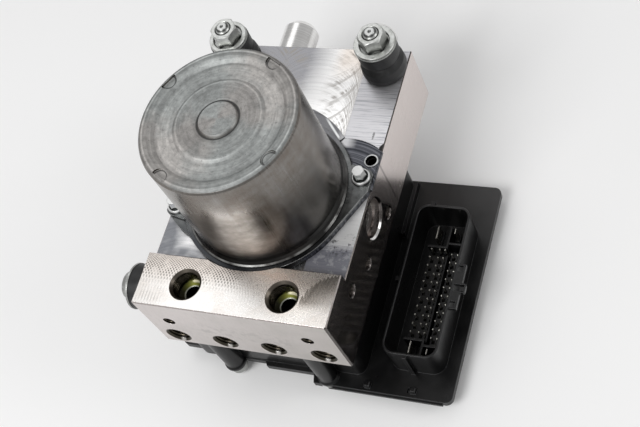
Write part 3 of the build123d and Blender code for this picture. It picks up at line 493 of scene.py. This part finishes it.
def finishBlock():
    material, shader = startFinish("machinedBlock", Metallic=1.0)
    ground = mmCoords()
    x, y, z = parts(ground)
    nx, ny, nz = facing()
    front, step, strip, main = blockZones(x, z, ny, nz)
    lead, trail, across = millMarks(x, y)
    leadLines = lineNoise(lead, 1.25, 2.0, 0.6)
    trailLines = lineNoise(trail, 2.1, 2.0, 0.6)
    stepLead, dots, stopped, comb = stepMarks(x, y, ground)
    cloud = noise(ground, 0.09, 4.0, 0.6)
    fine = noise(ground, 2.2, 3.0, 0.6)
    rounded, edge = softEdge(0.16)

    # tint, face by face
    tint = blendTint(front, blockMetal["side"], frontTint(ground, x, z, cloud))
    tint = blendTint(main, tint, mainTint(ground, x, y, lead, trail, across))
    stripCoat, stripLines = stripTint(ground, x, y)
    tint = blendTint(strip, tint, stripCoat)
    tint = blendTint(step, tint, stepTint(ground, x, y, dots, stopped, comb))
    tint = blendTint(edge * 0.15, tint, blockMetal["edge"])
    tint = chamferTint(tint, x, y, z, nx)
    tint, clear = portTint(tint, x, y, z, cloud)
    # painted shade in the crevices, darker where the faces are closed in
    tint = blendTint(spread(openness(4.0, 4), 0.35, 0.85, 0.4, 0.0), tint, blockMetal["creviceShade"])

    # roughness, face by face
    sideLines = noise(stretched(ground, (0.15, 0.05, 3.0)), 1.0, 3.0, 0.6)
    rough = spread(sideLines, 0.3, 0.7, 0.12, 0.18) + spread(y, 8.0, 24.0, 0.0, 0.11)
    rough = mixValue(front, rough, spread(fine, 0.3, 0.7, 0.33, 0.42))
    rough = mixValue(main, rough, spread(leadLines, 0.3, 0.7, 0.18, 0.3))
    rough = mixValue(strip, rough, spread(stripLines, 0.3, 0.7, 0.34, 0.46))
    rough = mixValue(step, rough, spread(fine, 0.3, 0.7, 0.24, 0.34))
    rough = mixValue(clear, spread(fine, 0.3, 0.7, 0.28, 0.4), rough)
    feed(shader.inputs["Metallic"], spread(strip, 0.0, 1.0, 1.0, 0.7))

    # tool marks in relief
    mainRelief = main * (leadLines + trailLines) * 0.6
    stripRelief = strip * stripLines * 0.8
    stepRelief = step * (stripes(stepLead, 1.15) * 0.25 - dots)
    relief = mainRelief + stripRelief + stepRelief + fine * 0.12 + sideLines * 0.12
    closeFinish(shader, tint, rough, bumpFrom(relief, 0.5, 0.06, rounded))
    dress("valve_block", material)


# motor can: drawn steel, dull plated top with stained rings, a painted highlight ring at its rim and painted
# shade in its groove, brown patina down the side
canSteel = {
    # top: grey level at each radius in mm, the pale one at 28.7 a painted highlight along the rim, then its
    # stains and pressed marks
    "bands": ((0.0, 0.42), (8.0, 0.42), (8.9, 0.38), (13.5, 0.35), (15.6, 0.39), (16.4, 0.52),
              (17.2, 0.43), (20.0, 0.50), (22.4, 0.46), (24.4, 0.40), (26.2, 0.42), (28.2, 0.35),
              (28.7, 0.56), (29.3, 0.34), (30.2, 0.24), (31.0, 0.22)), "topReach": 31.0,
    "topWarm": (1.0, 0.965, 0.93), "topCool": (0.965, 1.0, 0.985), "speck": (0.12, 0.12, 0.12),
    "scratch": (0.62, 0.63, 0.62), "topSpot": (0.16, 0.16, 0.16), "groove": (0.03, 0.03, 0.03),
    "grooveAt": (7.35, 7.75, 8.25, 8.6), "notchLine": (0.05, 0.05, 0.05), "notchCentre": 28.7,
    "notchAngles": (60.0, 150.0, 240.0, 330.0), "notchRadius": 2.75, "topZ": (110.0, 111.0),
    # side: patina, then painted shade and a painted highlight round it
    "sideBrown": (0.155, 0.130, 0.112), "sideMid": (0.20, 0.183, 0.166), "sideGrey": (0.26, 0.25, 0.24),
    "frontShade": (0.045, 0.043, 0.040), "rightShade": (0.09, 0.087, 0.084),
    "dulledAndShaded": (0.075, 0.067, 0.06), "paler": (0.58, 0.56, 0.55), "sideSpot": (0.05, 0.045, 0.04),
    # foot where the can meets the flange
    "footZ": 65.7, "foot": (0.028, 0.028, 0.028), "footLine": (0.40, 0.40, 0.39),
    "creviceShade": (0.03, 0.03, 0.03),
}


def canTopTint(ground, x, y, radius, angle):
    swirl = wire("CombineXYZ", {"X": radius, "Y": angle * 4.0})
    smear = noise(stretched(swirl, (1.1, 0.7, 1.0)), 1.0, 4.0, 0.62)
    rings = lineNoise(radius + smear * 0.6, 1.7, 3.0, 0.6)
    cloud = noise(ground, 0.11, 4.0, 0.6)
    reach = canSteel["topReach"]
    tint = ramp(spread(radius, 0.0, reach), *((at / reach, (level,) * 3) for at, level in canSteel["bands"]))
    beige = calc("SINE", angle * 2.0)
    warm = spread(beige * 0.35 + cloud, 0.35, 0.75)
    tint = blendTint(1.0, tint, blendTint(warm, canSteel["topCool"], canSteel["topWarm"]), "MULTIPLY")
    band = spread(radius, 15.5, 17.5) * spread(radius, 26.5, 23.0)
    mottle = noise(ground, 0.45, 5.0, 0.7)
    lift = ((1.0 + beige * band * 0.16) * spread(rings, 0.3, 0.7, 0.9, 1.09)
            * spread(smear, 0.32, 0.68, 0.84, 1.14) * spread(mottle, 0.35, 0.65, 0.82, 1.17)
            * spread(cloud, 0.35, 0.65, 0.9, 1.09))
    tint = blendTint(1.0, tint, lift, "MULTIPLY")
    specks = spread(noise(ground, 1.1, 3.0, 0.7), 0.6, 0.7)
    tint = blendTint(specks * 0.5, tint, canSteel["speck"])
    scratches = spread(noise(stretched(ground, (0.5, 2.2, 1.0)), 1.0, 4.0, 0.75, 1.5), 0.62, 0.7)
    onDisc = spread(radius, 7.4, 7.0, 0.12, 1.0)
    tint = blendTint(scratches * onDisc * 0.45, tint, canSteel["scratch"])
    dark = spread(noise(ground, 0.62, 3.0, 0.65), 0.56, 0.7)
    tint = blendTint(dark * onDisc * 0.35, tint, canSteel["topSpot"])
    # the groove ring is painted dark as shade
    inner, innerFull, outerFull, outer = canSteel["grooveAt"]
    groove = spread(radius, inner, innerFull) * spread(radius, outer, outerFull)
    tint = blendTint(groove * 0.85, tint, canSteel["groove"])
    for degrees in canSteel["notchAngles"]:
        cx = canSteel["notchCentre"] * math.cos(math.radians(degrees))
        cy = canSteel["notchCentre"] * math.sin(math.radians(degrees))
        away = abs(farFrom(x, y, cx, cy) - canSteel["notchRadius"])
        outline = spread(away, 0.34, 0.12) * spread(radius, 29.6, 29.0)
        tint = blendTint(outline * 0.75, tint, canSteel["notchLine"])
    return tint, rings, smear


def sector(angle, rising, falling):
    return spread(angle, *rising, smooth=True) * spread(angle, *falling, smooth=True)


def canSideTint(ground, angle, z):
    # angles round the can are in radians, 0 to the right and -1.57 to the front
    wrap = wire("CombineXYZ", {"X": angle * 30.0, "Z": z})
    streaks = noise(stretched(wrap, (0.9, 1.0, 0.035)), 1.0, 4.0, 0.65)
    cloud = noise(stretched(wrap, (0.09, 1.0, 0.06)), 1.0, 4.0, 0.6)
    smudge = noise(stretched(wrap, (0.16, 1.0, 0.3)), 1.0, 5.0, 0.65)
    blotch = streaks * 0.25 + (cloud * 0.45 + smudge * 0.3)
    tint = ramp(blotch, (0.38, canSteel["sideBrown"]), (0.5, canSteel["sideMid"]),
                (0.62, canSteel["sideGrey"]))
    shade = sector(angle, (-0.85, -0.6), (0.05, -0.15)) * spread(z, 108.0, 88.0)
    tint = blendTint(shade * 0.8, tint, canSteel["frontShade"])
    upperRight = sector(angle, (0.3, 0.52), (1.5, 1.1)) * spread(z, 84.0, 94.0)
    tint = blendTint(upperRight * 0.6, tint, canSteel["rightShade"])
    # painted shade on the upper front-left, where the side is also rougher
    dulledAndShaded = sector(angle, (-2.05, -1.75), (-0.9, -1.15)) * spread(z, 104.0, 94.0)
    tint = blendTint(dulledAndShaded * spread(smudge, 0.35, 0.65, 0.85, 0.45), tint, canSteel["dulledAndShaded"])
    # painted highlight low on the right, also less metallic
    paler = sector(angle, (-0.05, 0.3), (1.1, 0.8)) * spread(z, 94.0, 80.0)
    tint = blendTint(paler * 0.7, tint, canSteel["paler"])
    spots = spread(noise(ground, 0.55, 3.0, 0.7), 0.68, 0.76)
    return blendTint(spots * 0.5, tint, canSteel["sideSpot"]), streaks, dulledAndShaded, paler


def footTint(ground, z, tint):
    # painted shade over the rolled foot, with a thin, broken light line
    foot = spread(z, canSteel["footZ"] + 4.4, canSteel["footZ"] + 3.4)
    tint = blendTint(foot * 0.85, tint, canSteel["foot"])
    offLine = abs(z - (canSteel["footZ"] + 0.9))
    line = spread(offLine, 0.42, 0.18) * spread(noise(ground, 0.12, 2.0), 0.4, 0.62)
    return blendTint(line * 0.65, tint, canSteel["footLine"])


def finishCan():
    material, shader = startFinish("drawnCan", Metallic=1.0)
    ground = mmCoords()
    x, y, z = parts(ground)
    nz = facing()[2]
    radius = farFrom(x, y, 0.0, 0.0)
    angle = calc("ARCTAN2", y, x)
    onTop = spread(nz, 0.45, 0.7) * spread(z, *canSteel["topZ"])
    topTint, rings, smear = canTopTint(ground, x, y, radius, angle)
    sideTint, streaks, dulledAndShaded, paler = canSideTint(ground, angle, z)
    tint = blendTint(onTop, footTint(ground, z, sideTint), topTint)
    # painted shade in the crevices
    tint = blendTint(spread(openness(3.0, 4), 0.3, 0.7, 0.5, 0.0), tint, canSteel["creviceShade"])
    fine = noise(ground, 3.0, 3.0, 0.6)
    topRough = spread(smear, 0.3, 0.7, 0.54, 0.66)
    sideRough = spread(streaks, 0.3, 0.7, 0.2, 0.28) + dulledAndShaded * 0.15
    rough = mixValue(onTop, sideRough, topRough)
    onSide = spread(onTop, 0.0, 1.0, 1.0, 0.0)
    feed(shader.inputs["Metallic"], spread(paler * onSide, 0.0, 1.0, 1.0, 0.55))
    relief = onTop * rings * 0.5 + fine * 0.25 + streaks * 0.3
    closeFinish(shader, tint, rough, bumpFrom(relief, 0.35, 0.08, softEdge(0.35)[0]))
    dress("motor_can", material)


# motor flange: dark plated plate, light along its rubbed edges, partly a painted highlight, and painted shade
# in its corners
flangeSteel = {"tint": (0.115, 0.12, 0.12), "pale": (0.20, 0.205, 0.205), "lip": (0.16, 0.16, 0.168),
               "wearAndHighlight": (0.66, 0.67, 0.67), "creaseShade": (0.015, 0.015, 0.015), "turnedLine": (0.05, 0.05, 0.05),
               "leafDark": (0.028, 0.030, 0.036), "leafPale": (0.125, 0.128, 0.145),
               "leafBright": (0.50, 0.50, 0.51), "leafCentre": (26.0, -2.0), "leafZ": (65.2, 64.9),
               "holeRadius": 2.2,
               # a rubbed line on the rim: its two direction factors and its distance from the motor's axis
               "rimLine": (0.739, 0.673, 34.35)}


def finishFlange():
    material, shader = startFinish("platedFlange", Metallic=1.0)
    ground = mmCoords()
    x, y, z = parts(ground)
    cloud = noise(ground, 0.25, 4.0, 0.6)
    brushed = lineNoise(farFrom(x, y, *flangeSteel["leafCentre"]), 1.1, 3.0, 0.6)
    turned = lineNoise(farFrom(x, y, 0.0, 0.0), 1.6, 3.0, 0.6)
    tint = blendTint(spread(cloud, 0.4, 0.66), flangeSteel["tint"], flangeSteel["pale"])
    back = spread(y, 16.0, 24.0) * spread(x, 26.0, 22.0)
    tint = blendTint(back, tint, flangeSteel["lip"])
    acrossX, acrossY, offset = flangeSteel["rimLine"]
    offLine = x * acrossX + y * acrossY - offset
    streak = spread(abs(offLine), 0.55, 0.25) * spread(x, 12.8, 15.5) * spread(x, 21.8, 20.8)
    tint = blendTint(streak, tint, flangeSteel["wearAndHighlight"])
    tint = blendTint(spread(y, -12.0, -24.0, 0.0, 0.8), tint, flangeSteel["leafDark"])
    tint = blendTint(spread(turned, 0.55, 0.66, 0.0, 0.4), tint, flangeSteel["turnedLine"])
    leaf = spread(z, *flangeSteel["leafZ"]) * spread(x, 20.0, 24.0)
    leafTint = blendTint(spread(brushed, 0.42, 0.58), flangeSteel["leafDark"], flangeSteel["leafPale"])
    corner = spread(x, 29.5, 25.5) * spread(y, 22.8, 24.2)
    leafTint = blendTint(corner, leafTint, flangeSteel["leafBright"])
    away = farFrom(x, y, *flangeHole)
    hole = flangeSteel["holeRadius"]
    leafTint = blendTint(spread(away, hole + 0.75, hole + 0.5) * spread(cloud, 0.3, 0.6), leafTint,
                         flangeSteel["wearAndHighlight"])
    # painted shade on the wall of the locating hole
    leafTint = blendTint(spread(away, hole + 0.12, hole + 0.05), leafTint, flangeSteel["creaseShade"])
    tint = blendTint(leaf, tint, leafTint)
    rounded, edge = softEdge(0.32)
    corners = openness(1.6, 6)
    tint = blendTint(edge * spread(corners, 0.55, 0.75) * 0.85, tint, flangeSteel["wearAndHighlight"])
    # painted shade in the corners
    tint = blendTint(spread(corners, 0.8, 0.5, 0.0, 0.9), tint, flangeSteel["creaseShade"])
    relief = mixValue(leaf, turned, brushed)
    closeFinish(shader, tint, spread(cloud, 0.3, 0.7, 0.22, 0.36), bumpFrom(relief, 0.25, 0.05, rounded))
    dress("motor_flange", material)


# screws, nuts, washers and studs: pale grey zinc, with painted shade in every crease and on the upright faces
zincCoat = {"tint": (0.58, 0.59, 0.57), "pale": (0.68, 0.69, 0.675), "dull": (0.44, 0.45, 0.43),
            "flank": (0.22, 0.225, 0.215), "edge": (0.82, 0.82, 0.81), "creaseShade": (0.03, 0.032, 0.03),
            "stud": (0.64, 0.65, 0.64), "studX": 31.7, "studY": 61.2, "studTop": 87.5, "threadPitch": 1.0,
            "studRing": 2.25, "threadEndZ": (86.2, 85.8), "tipZ": (86.6, 87.0), "screw": (0.80, 0.80, 0.80),
            "screwAt": (36.13, 9.68), "screwSeat": (0.13, 0.14, 0.14), "seatEdge": (3.15, 2.95),
            "seatZ": (68.2, 67.9), "pin": (0.40, 0.40, 0.39)}


def studRelief(x, y, z):
    # helix round the shank, a dimple and a ring on its end
    localX = abs(x) - zincCoat["studX"]
    localY = y - zincCoat["studY"]
    turn = calc("ARCTAN2", localY, localX) / (2 * math.pi)
    radius = farFrom(localX, localY, 0.0, 0.0)
    wall = spread(radius, 2.6, 2.8) * spread(z, *zincCoat["threadEndZ"])
    helix = stripes(z - turn * zincCoat["threadPitch"], zincCoat["threadPitch"])
    onEnd = spread(z, zincCoat["studTop"] - 1.5, zincCoat["studTop"] - 1.2)
    outline = onEnd * spread(abs(radius - zincCoat["studRing"]), 0.42, 0.18)
    dimple = onEnd * spread(radius, 0.85, 0.55)
    return helix * wall * 6.0, calc("MAXIMUM", outline, dimple), helix * wall


def finishZinc(name, nodeNames, kind="plain", tint=None):
    material, shader = startFinish(name, Metallic=1.0)
    ground = mmCoords()
    x, y, z = parts(ground)
    cloud = noise(ground, 0.6, 4.0, 0.6)
    fine = noise(ground, 4.5, 3.0, 0.6)
    coat = ramp(cloud, (0.34, zincCoat["dull"]), (0.48, tint or zincCoat["tint"]), (0.68, zincCoat["pale"]))
    relief = fine * 0.5
    dark = 0.0
    if kind == "stud":
        ridges, dark, grooves = studRelief(x, y, z)
        relief = relief + ridges
        coat = blendTint(grooves * 0.5, coat, zincCoat["dull"])
        coat = blendTint(spread(z, *zincCoat["tipZ"]), coat, zincCoat["stud"])
    if kind == "screw":
        mirror = calc("SIGN", x)
        away = farFrom(abs(x), y * mirror, *zincCoat["screwAt"])
        coat = blendTint(0.75, coat, zincCoat["screw"])
        seat = spread(away, *zincCoat["seatEdge"]) * spread(z, *zincCoat["seatZ"])
        coat = blendTint(seat, coat, zincCoat["screwSeat"])
    # painted shade on the upright faces
    upright = spread(abs(facing()[2]), 0.75, 0.4)
    coat = blendTint(upright * 0.55, coat, zincCoat["flank"])
    rounded, edge = softEdge(0.22)
    corners = openness(1.3, 6)
    coat = blendTint(edge * spread(corners, 0.55, 0.8) * 0.7, coat, zincCoat["edge"])
    # painted shade in the creases
    coat = blendTint(spread(corners, 0.66, 0.36, 0.0, 0.75), coat, zincCoat["creaseShade"])
    coat = blendTint(dark * 0.85, coat, zincCoat["creaseShade"])
    closeFinish(shader, coat, spread(fine, 0.3, 0.7, 0.3, 0.44), bumpFrom(relief, 0.5, 0.05, rounded))
    for nodeName in nodeNames:
        dress(nodeName, material)


# control unit: black glass-filled plastic, fine moulded grain, edges catch the light, a painted sheen on the
# upward faces at the back
unitPlastic = {"tint": (0.0032, 0.0032, 0.0034), "edge": (0.055, 0.057, 0.060),
               "flow": (0.007, 0.007, 0.0075), "dust": (0.013, 0.013, 0.0135),
               "backSheen": (0.032, 0.031, 0.031), "backFrom": (8.0, 32.0), "specular": 0.34,
               "housingRough": (0.27, 0.38), "coverRough": (0.32, 0.44)}


def finishPlastic(name, nodeName, roughRange):
    material, shader = startFinish(name, **{"Specular IOR Level": unitPlastic["specular"]})
    ground = mmCoords()
    y = parts(ground)[1]
    nz = facing()[2]
    cloud = noise(ground, 0.12, 4.0, 0.6)
    grain = noise(ground, 5.5, 2.0, 0.6)
    flow = noise(stretched(ground, (0.25, 0.05, 0.25)), 1.0, 3.0, 0.6)
    up = spread(nz, 0.6, 0.95)
    back = spread(y, *unitPlastic["backFrom"])
    # dust on the upward faces, with a painted sheen over those at the back
    dustAndSheenMask = calc("MAXIMUM", up * spread(cloud, 0.45, 0.75, 0.0, 0.5), up * back)
    dust = blendTint(back, unitPlastic["dust"], unitPlastic["backSheen"])
    tint = blendTint(dustAndSheenMask, unitPlastic["tint"], dust)
    tint = blendTint(spread(flow, 0.55, 0.75, 0.0, 0.35), tint, unitPlastic["flow"])
    rounded, edge = softEdge(0.3)
    # painted highlight along the edges, with some wear
    wearAndHighlight = edge * spread(noise(ground, 0.5, 3.0), 0.3, 0.6, 0.35, 1.0)
    tint = blendTint(wearAndHighlight, tint, unitPlastic["edge"])
    closeFinish(shader, tint, spread(cloud, 0.3, 0.7, *roughRange),
                bumpFrom(grain, 0.25, 0.05, rounded))
    dress(nodeName, material)


# rubber mounts: near-black, satin where it was handled, faint bloom in the waist
rubberMix = {"tint": (0.008, 0.008, 0.0085), "bloom": (0.036, 0.037, 0.038)}


def finishRubber():
    material, shader = startFinish("mountRubber")
    ground = mmCoords()
    cloud = noise(ground, 0.35, 4.0, 0.6)
    pores = noise(ground, 3.5, 3.0, 0.6)
    rounded, edge = softEdge(0.5)
    tint = blendTint(spread(cloud, 0.5, 0.75, 0.0, 0.6), rubberMix["tint"], rubberMix["bloom"])
    tint = blendTint(edge * 0.4, tint, rubberMix["bloom"])
    closeFinish(shader, tint, spread(cloud, 0.3, 0.7, 0.38, 0.58), bumpFrom(pores, 0.3, 0.08, rounded))
    for nodeName in ("rubber_bushes", "side_bush"):
        dress(nodeName, material)


# accumulator caps: bright turned aluminium, tool lines round the barrel and over the end
turnedCap = {"tint": (0.84, 0.83, 0.82), "line": (0.74, 0.73, 0.72), "pale": (0.90, 0.90, 0.89),
             "band": (0.70, 0.68, 0.67), "x": 18.0, "z": 48.3}


def finishCaps():
    material, shader = startFinish("turnedCap", Metallic=1.0)
    ground = mmCoords()
    x, y, z = parts(ground)
    ny = facing()[1]
    onEnd = spread(ny, 0.5, 0.8)
    radius = farFrom(abs(x), z, turnedCap["x"], turnedCap["z"])
    lines = mixValue(onEnd, lineNoise(y, 0.5, 3.0, 0.7), lineNoise(radius, 0.5, 3.0, 0.7))
    bands = lineNoise(y, 6.0, 1.0)
    tint = ramp(lines, (0.32, turnedCap["line"]), (0.5, turnedCap["tint"]), (0.7, turnedCap["pale"]))
    tint = blendTint(spread(bands, 0.5, 0.7, 0.0, 0.25), tint, turnedCap["band"])
    rounded = softEdge(0.3)[0]
    closeFinish(shader, tint, spread(lines, 0.3, 0.7, 0.16, 0.26), bumpFrom(lines, 0.12, 0.05, rounded))
    dress("accumulator_cap_left", material)
    dress("accumulator_cap_right", material)


# plugs and balls pressed into the block: faces and balls painted dark as shade, bright painted highlight
# crescents where the rim was staked
plugSteel = {"face": (0.050, 0.046, 0.042), "pale": (0.14, 0.135, 0.13), "rim": (0.78, 0.77, 0.76),
             "z": 52.9, "rimFrom": 6.0, "ball": (0.06, 0.057, 0.053)}


def finishPressedPlugs():
    material, shader = startFinish("groundPlug", Metallic=1.0)
    ground = mmCoords()
    y, z = parts(ground)[1:]
    radius = farFrom(y, z, 0.0, plugSteel["z"])
    rings = lineNoise(radius, 0.7, 3.0, 0.65)
    cloud = noise(ground, 0.5, 4.0, 0.6)
    tint = blendTint(spread(rings + cloud, 0.85, 1.25), plugSteel["face"], plugSteel["pale"])
    # painted highlight crescent on the staked rim
    crescentHighlight = (spread(radius, plugSteel["rimFrom"], plugSteel["rimFrom"] + 0.5)
              * spread(z - plugSteel["z"], 1.5, -1.0) * spread(abs(y - 1.2), 1.6, 3.2))
    tint = blendTint(crescentHighlight, tint, plugSteel["rim"])
    rounded, edge = softEdge(0.3)
    tint = blendTint(edge * 0.2, tint, plugSteel["rim"])
    closeFinish(shader, tint, spread(cloud, 0.3, 0.7, 0.18, 0.32), bumpFrom(rings, 0.4, 0.05, rounded))
    for nodeName in ("pump_plug_left", "pump_plug_right"):
        dress(nodeName, material)
    finishPlain("polishedBall", ("ball_plugs",), plugSteel["ball"], 1.0, 0.12, 0.24, 1.2, 0.1)


# contacts: tinned brass, dull flanks and brighter tips
contactTin = {"flank": (0.22, 0.215, 0.19), "pale": (0.55, 0.53, 0.46), "tip": (0.50, 0.49, 0.45),
              "tipZ": 14.4}


def finishContacts():
    material, shader = startFinish("tinnedContact", Metallic=1.0)
    ground = mmCoords()
    z = parts(ground)[2]
    cloud = noise(ground, 0.9, 4.0, 0.6)
    wiped = noise(stretched(ground, (6.0, 6.0, 0.4)), 1.0, 2.0, 0.6)
    tint = blendTint(spread(cloud, 0.35, 0.7), contactTin["flank"], contactTin["pale"])
    tint = blendTint(spread(z, contactTin["tipZ"] - 0.8, contactTin["tipZ"] + 0.2), tint, contactTin["tip"])
    rounded, edge = softEdge(0.12)
    tint = blendTint(edge * 0.5, tint, contactTin["tip"])
    closeFinish(shader, tint, spread(wiped, 0.3, 0.7, 0.2, 0.36), bumpFrom(wiped, 0.3, 0.03, rounded))
    for nodeName in ("signal_pins", "power_blades"):
        dress(nodeName, material)


def finishPlain(name, nodeNames, tint, metal, roughLow, roughHigh, grainPerMm, relief, direction=(1, 1, 1)):
    # pieces out of sight: own tint with a worked grain, cloudy wear and rubbed edges
    material, shader = startFinish(name, Metallic=metal)
    ground = mmCoords()
    cloud = noise(ground, 0.3, 4.0, 0.6)
    grain = noise(stretched(ground, direction), grainPerMm, 3.0, 0.6)
    darker = tuple(channel * 0.62 for channel in tint)
    paler = tuple(min(1.0, channel * 1.25 + 0.02) for channel in tint)
    coat = ramp(cloud * 0.5 + grain * 0.5, (0.36, darker), (0.5, tint), (0.66, paler))
    rounded, edge = softEdge(0.2)
    coat = blendTint(edge * 0.4, coat, paler)
    closeFinish(shader, coat, spread(grain, 0.3, 0.7, roughLow, roughHigh),
                bumpFrom(grain, relief, 0.06, rounded))
    for nodeName in nodeNames:
        dress(nodeName, material)


# the pieces inside, by finish: tint, metal, roughness low and high, grain per mm, relief, grain direction
around = (1.0, 1.0, 0.15)
along = (6.0, 6.0, 0.3)
valveWords = [word + "_plunger_" + str(number) for word in ("inlet", "outlet") for number in range(1, 5)]
innerFinishes = {
    "groundSteel": (("motor_shaft", "eccentric", "eccentric_ring", "front_bearing", "rear_bearing",
                     "pump_liner_left", "pump_liner_right", "pump_piston_left", "pump_piston_right",
                     "inlet_valve_bodies", "outlet_valve_bodies", *valveWords),
                    (0.55, 0.55, 0.55), 1.0, 0.16, 0.28, 2.5, 0.2, around),
    "springWire": (("pump_spring_left", "pump_spring_right", "accumulator_spring_left",
                    "accumulator_spring_right"), (0.30, 0.30, 0.31), 1.0, 0.25, 0.40, 3.0, 0.3, around),
    "turnedPiston": (("accumulator_piston_left", "accumulator_piston_right"),
                     (0.80, 0.80, 0.79), 1.0, 0.18, 0.30, 3.0, 0.3, (1.0, 0.1, 1.0)),
    "ferrite": (("motor_magnets",), (0.045, 0.045, 0.05), 0.0, 0.45, 0.65, 1.5, 0.5),
    "coreSheets": (("rotor_core",), (0.30, 0.30, 0.31), 1.0, 0.30, 0.45, 1.2, 0.7, (0.1, 0.1, 2.0)),
    "coilYoke": (("coil_yokes",), (0.36, 0.36, 0.37), 1.0, 0.28, 0.42, 1.5, 0.3, around),
    "copperWinding": (("rotor_windings",), (0.50, 0.20, 0.08), 1.0, 0.22, 0.35, 1.6, 0.9, (1.0, 1.0, 3.0)),
    "turnedCopper": (("commutator",), (0.70, 0.36, 0.20), 1.0, 0.20, 0.32, 2.0, 0.3, around),
    "coilTape": (("valve_coils",), (0.16, 0.045, 0.02), 0.0, 0.32, 0.50, 1.5, 0.6, (0.3, 0.3, 3.0)),
    "brushCarbon": (("brushes",), (0.03, 0.03, 0.033), 0.0, 0.45, 0.60, 3.0, 0.5),
    "holderPlastic": (("brush_holder",), (0.06, 0.055, 0.05), 0.0, 0.40, 0.55, 3.0, 0.3),
    "terminalBrass": (("motor_terminals",), (0.66, 0.49, 0.20), 1.0, 0.22, 0.34, 2.5, 0.2, along),
    "sleevePlastic": (("terminal_sleeve",), (0.55, 0.52, 0.42), 0.0, 0.38, 0.52, 3.0, 0.2),
    "boardLacquer": (("circuit_board",), (0.018, 0.13, 0.045), 0.0, 0.18, 0.30, 0.8, 0.5),
    "sealRubber": (("unit_seal",), (0.035, 0.035, 0.036), 0.0, 0.50, 0.68, 2.5, 0.4),
}


def finishInside():
    for name, (nodeNames, *values) in innerFinishes.items():
        finishPlain(name, nodeNames, *values)


finishBlock()
finishCan()
finishFlange()
print("valve block, can and flange dressed")
finishZinc("zincFasteners", ("mount_nuts", "mount_washers", "unit_screws"))
finishZinc("zincScrews", ("motor_screws",), kind="screw")
finishZinc("zincStuds", ("mount_studs",), kind="stud")
finishZinc("zincPin", ("side_mount_pin",), tint=zincCoat["pin"])
finishPlastic("unitPlastic", "unit_housing", unitPlastic["housingRough"])
finishPlastic("coverPlastic", "unit_cover", unitPlastic["coverRough"])
finishRubber()
finishCaps()
finishPressedPlugs()
finishContacts()
print("mounts, plastic, caps, plugs and contacts dressed")
finishInside()
print("inner pieces dressed")


# thread ridges in the ports and the tapped bracket holes; each winds on the bore's own wall
threads = {"pitch": 1.0, "height": 0.34, "segments": 44, "sunk": 0.02, "rootHalf": 0.42, "crestHalf": 0.08,
           "inlet": {"radius": 5.5, "from": 1.3, "to": 6.6},
           "wheel": {"radius": 4.45, "from": 1.4, "to": 11.4},
           "bracket": {"radius": 2.5, "from": 0.4, "to": 8.2},
           "crest": (0.085, 0.074, 0.058), "flank": (0.028, 0.024, 0.016), "edge": (0.60, 0.59, 0.48)}


def windRidge(name, kind, turnMatrix, material):
    # the ridge rises over its first half turn and runs out over its last
    size = threads[kind]
    count = threads["segments"]
    steps = int((size["to"] - size["from"]) / threads["pitch"] * count)
    mesh = bmesh.new()
    rows = []
    for i in range(steps + 1):
        swing = 2 * math.pi * i / count
        depth = -size["from"] - threads["pitch"] * i / count
        rise = min(1.0, 2 * i / count, 2 * (steps - i) / count)
        crest = size["radius"] - threads["height"] * rise
        root = size["radius"] + threads["sunk"]
        corners = ((root, -threads["rootHalf"]), (crest, -threads["crestHalf"]),
                   (crest, threads["crestHalf"]), (root, threads["rootHalf"]))
        rows.append([mesh.verts.new((reach * math.cos(swing) * mm, reach * math.sin(swing) * mm,
                                     (depth + drop * threads["pitch"]) * mm)) for reach, drop in corners])
    for first, second in zip(rows, rows[1:]):
        for k in range(3):
            mesh.faces.new((first[k], first[k + 1], second[k + 1], second[k]))
    bmesh.ops.recalc_face_normals(mesh, faces=mesh.faces)
    mesh.transform(turnMatrix)
    data = bpy.data.meshes.new(name)
    mesh.to_mesh(data)
    mesh.free()
    for polygon in data.polygons:
        polygon.use_smooth = True
    data.materials.append(material)
    ridge = bpy.data.objects.new(name, data)
    bpy.context.scene.collection.objects.link(ridge)
    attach(ridge, "housing")


def finishThread():
    material, shader = startFinish("portThread", Metallic=1.0)
    ground = mmCoords()
    cloud = noise(ground, 0.6, 3.0, 0.6)
    rounded, edge = softEdge(0.15)
    tint = blendTint(spread(cloud, 0.35, 0.65), threads["flank"], threads["crest"])
    tint = blendTint(edge * 0.5, tint, threads["edge"])
    closeFinish(shader, tint, spread(cloud, 0.3, 0.7, 0.18, 0.34),
                bumpFrom(noise(ground, 4.0), 0.3, 0.03, rounded))
    return material


def cutThreads():
    material = finishThread()
    for side, (px, py) in zip(("left", "right"), inletPlaces):
        place = Matrix.Translation(Vector((px, py, stepTopZ)) * mm)
        windRidge("inletThread_" + side, "inlet", place, material)
    intoFront = Matrix.Rotation(math.radians(90), 4, "X")
    for number, px in enumerate(wheelPortXs, 1):
        place = Matrix.Translation(Vector((px, frontFaceY, wheelPortZ)) * mm) @ intoFront
        windRidge("wheelPortThread_" + str(number), "wheel", place, material)
    for side, (px, pz) in zip(("left", "right"), bracketHoles):
        place = Matrix.Translation(Vector((px, frontFaceY, pz)) * mm) @ intoFront
        windRidge("bracketThread_" + side, "bracket", place, material)


cutThreads()
print("port threads wound")
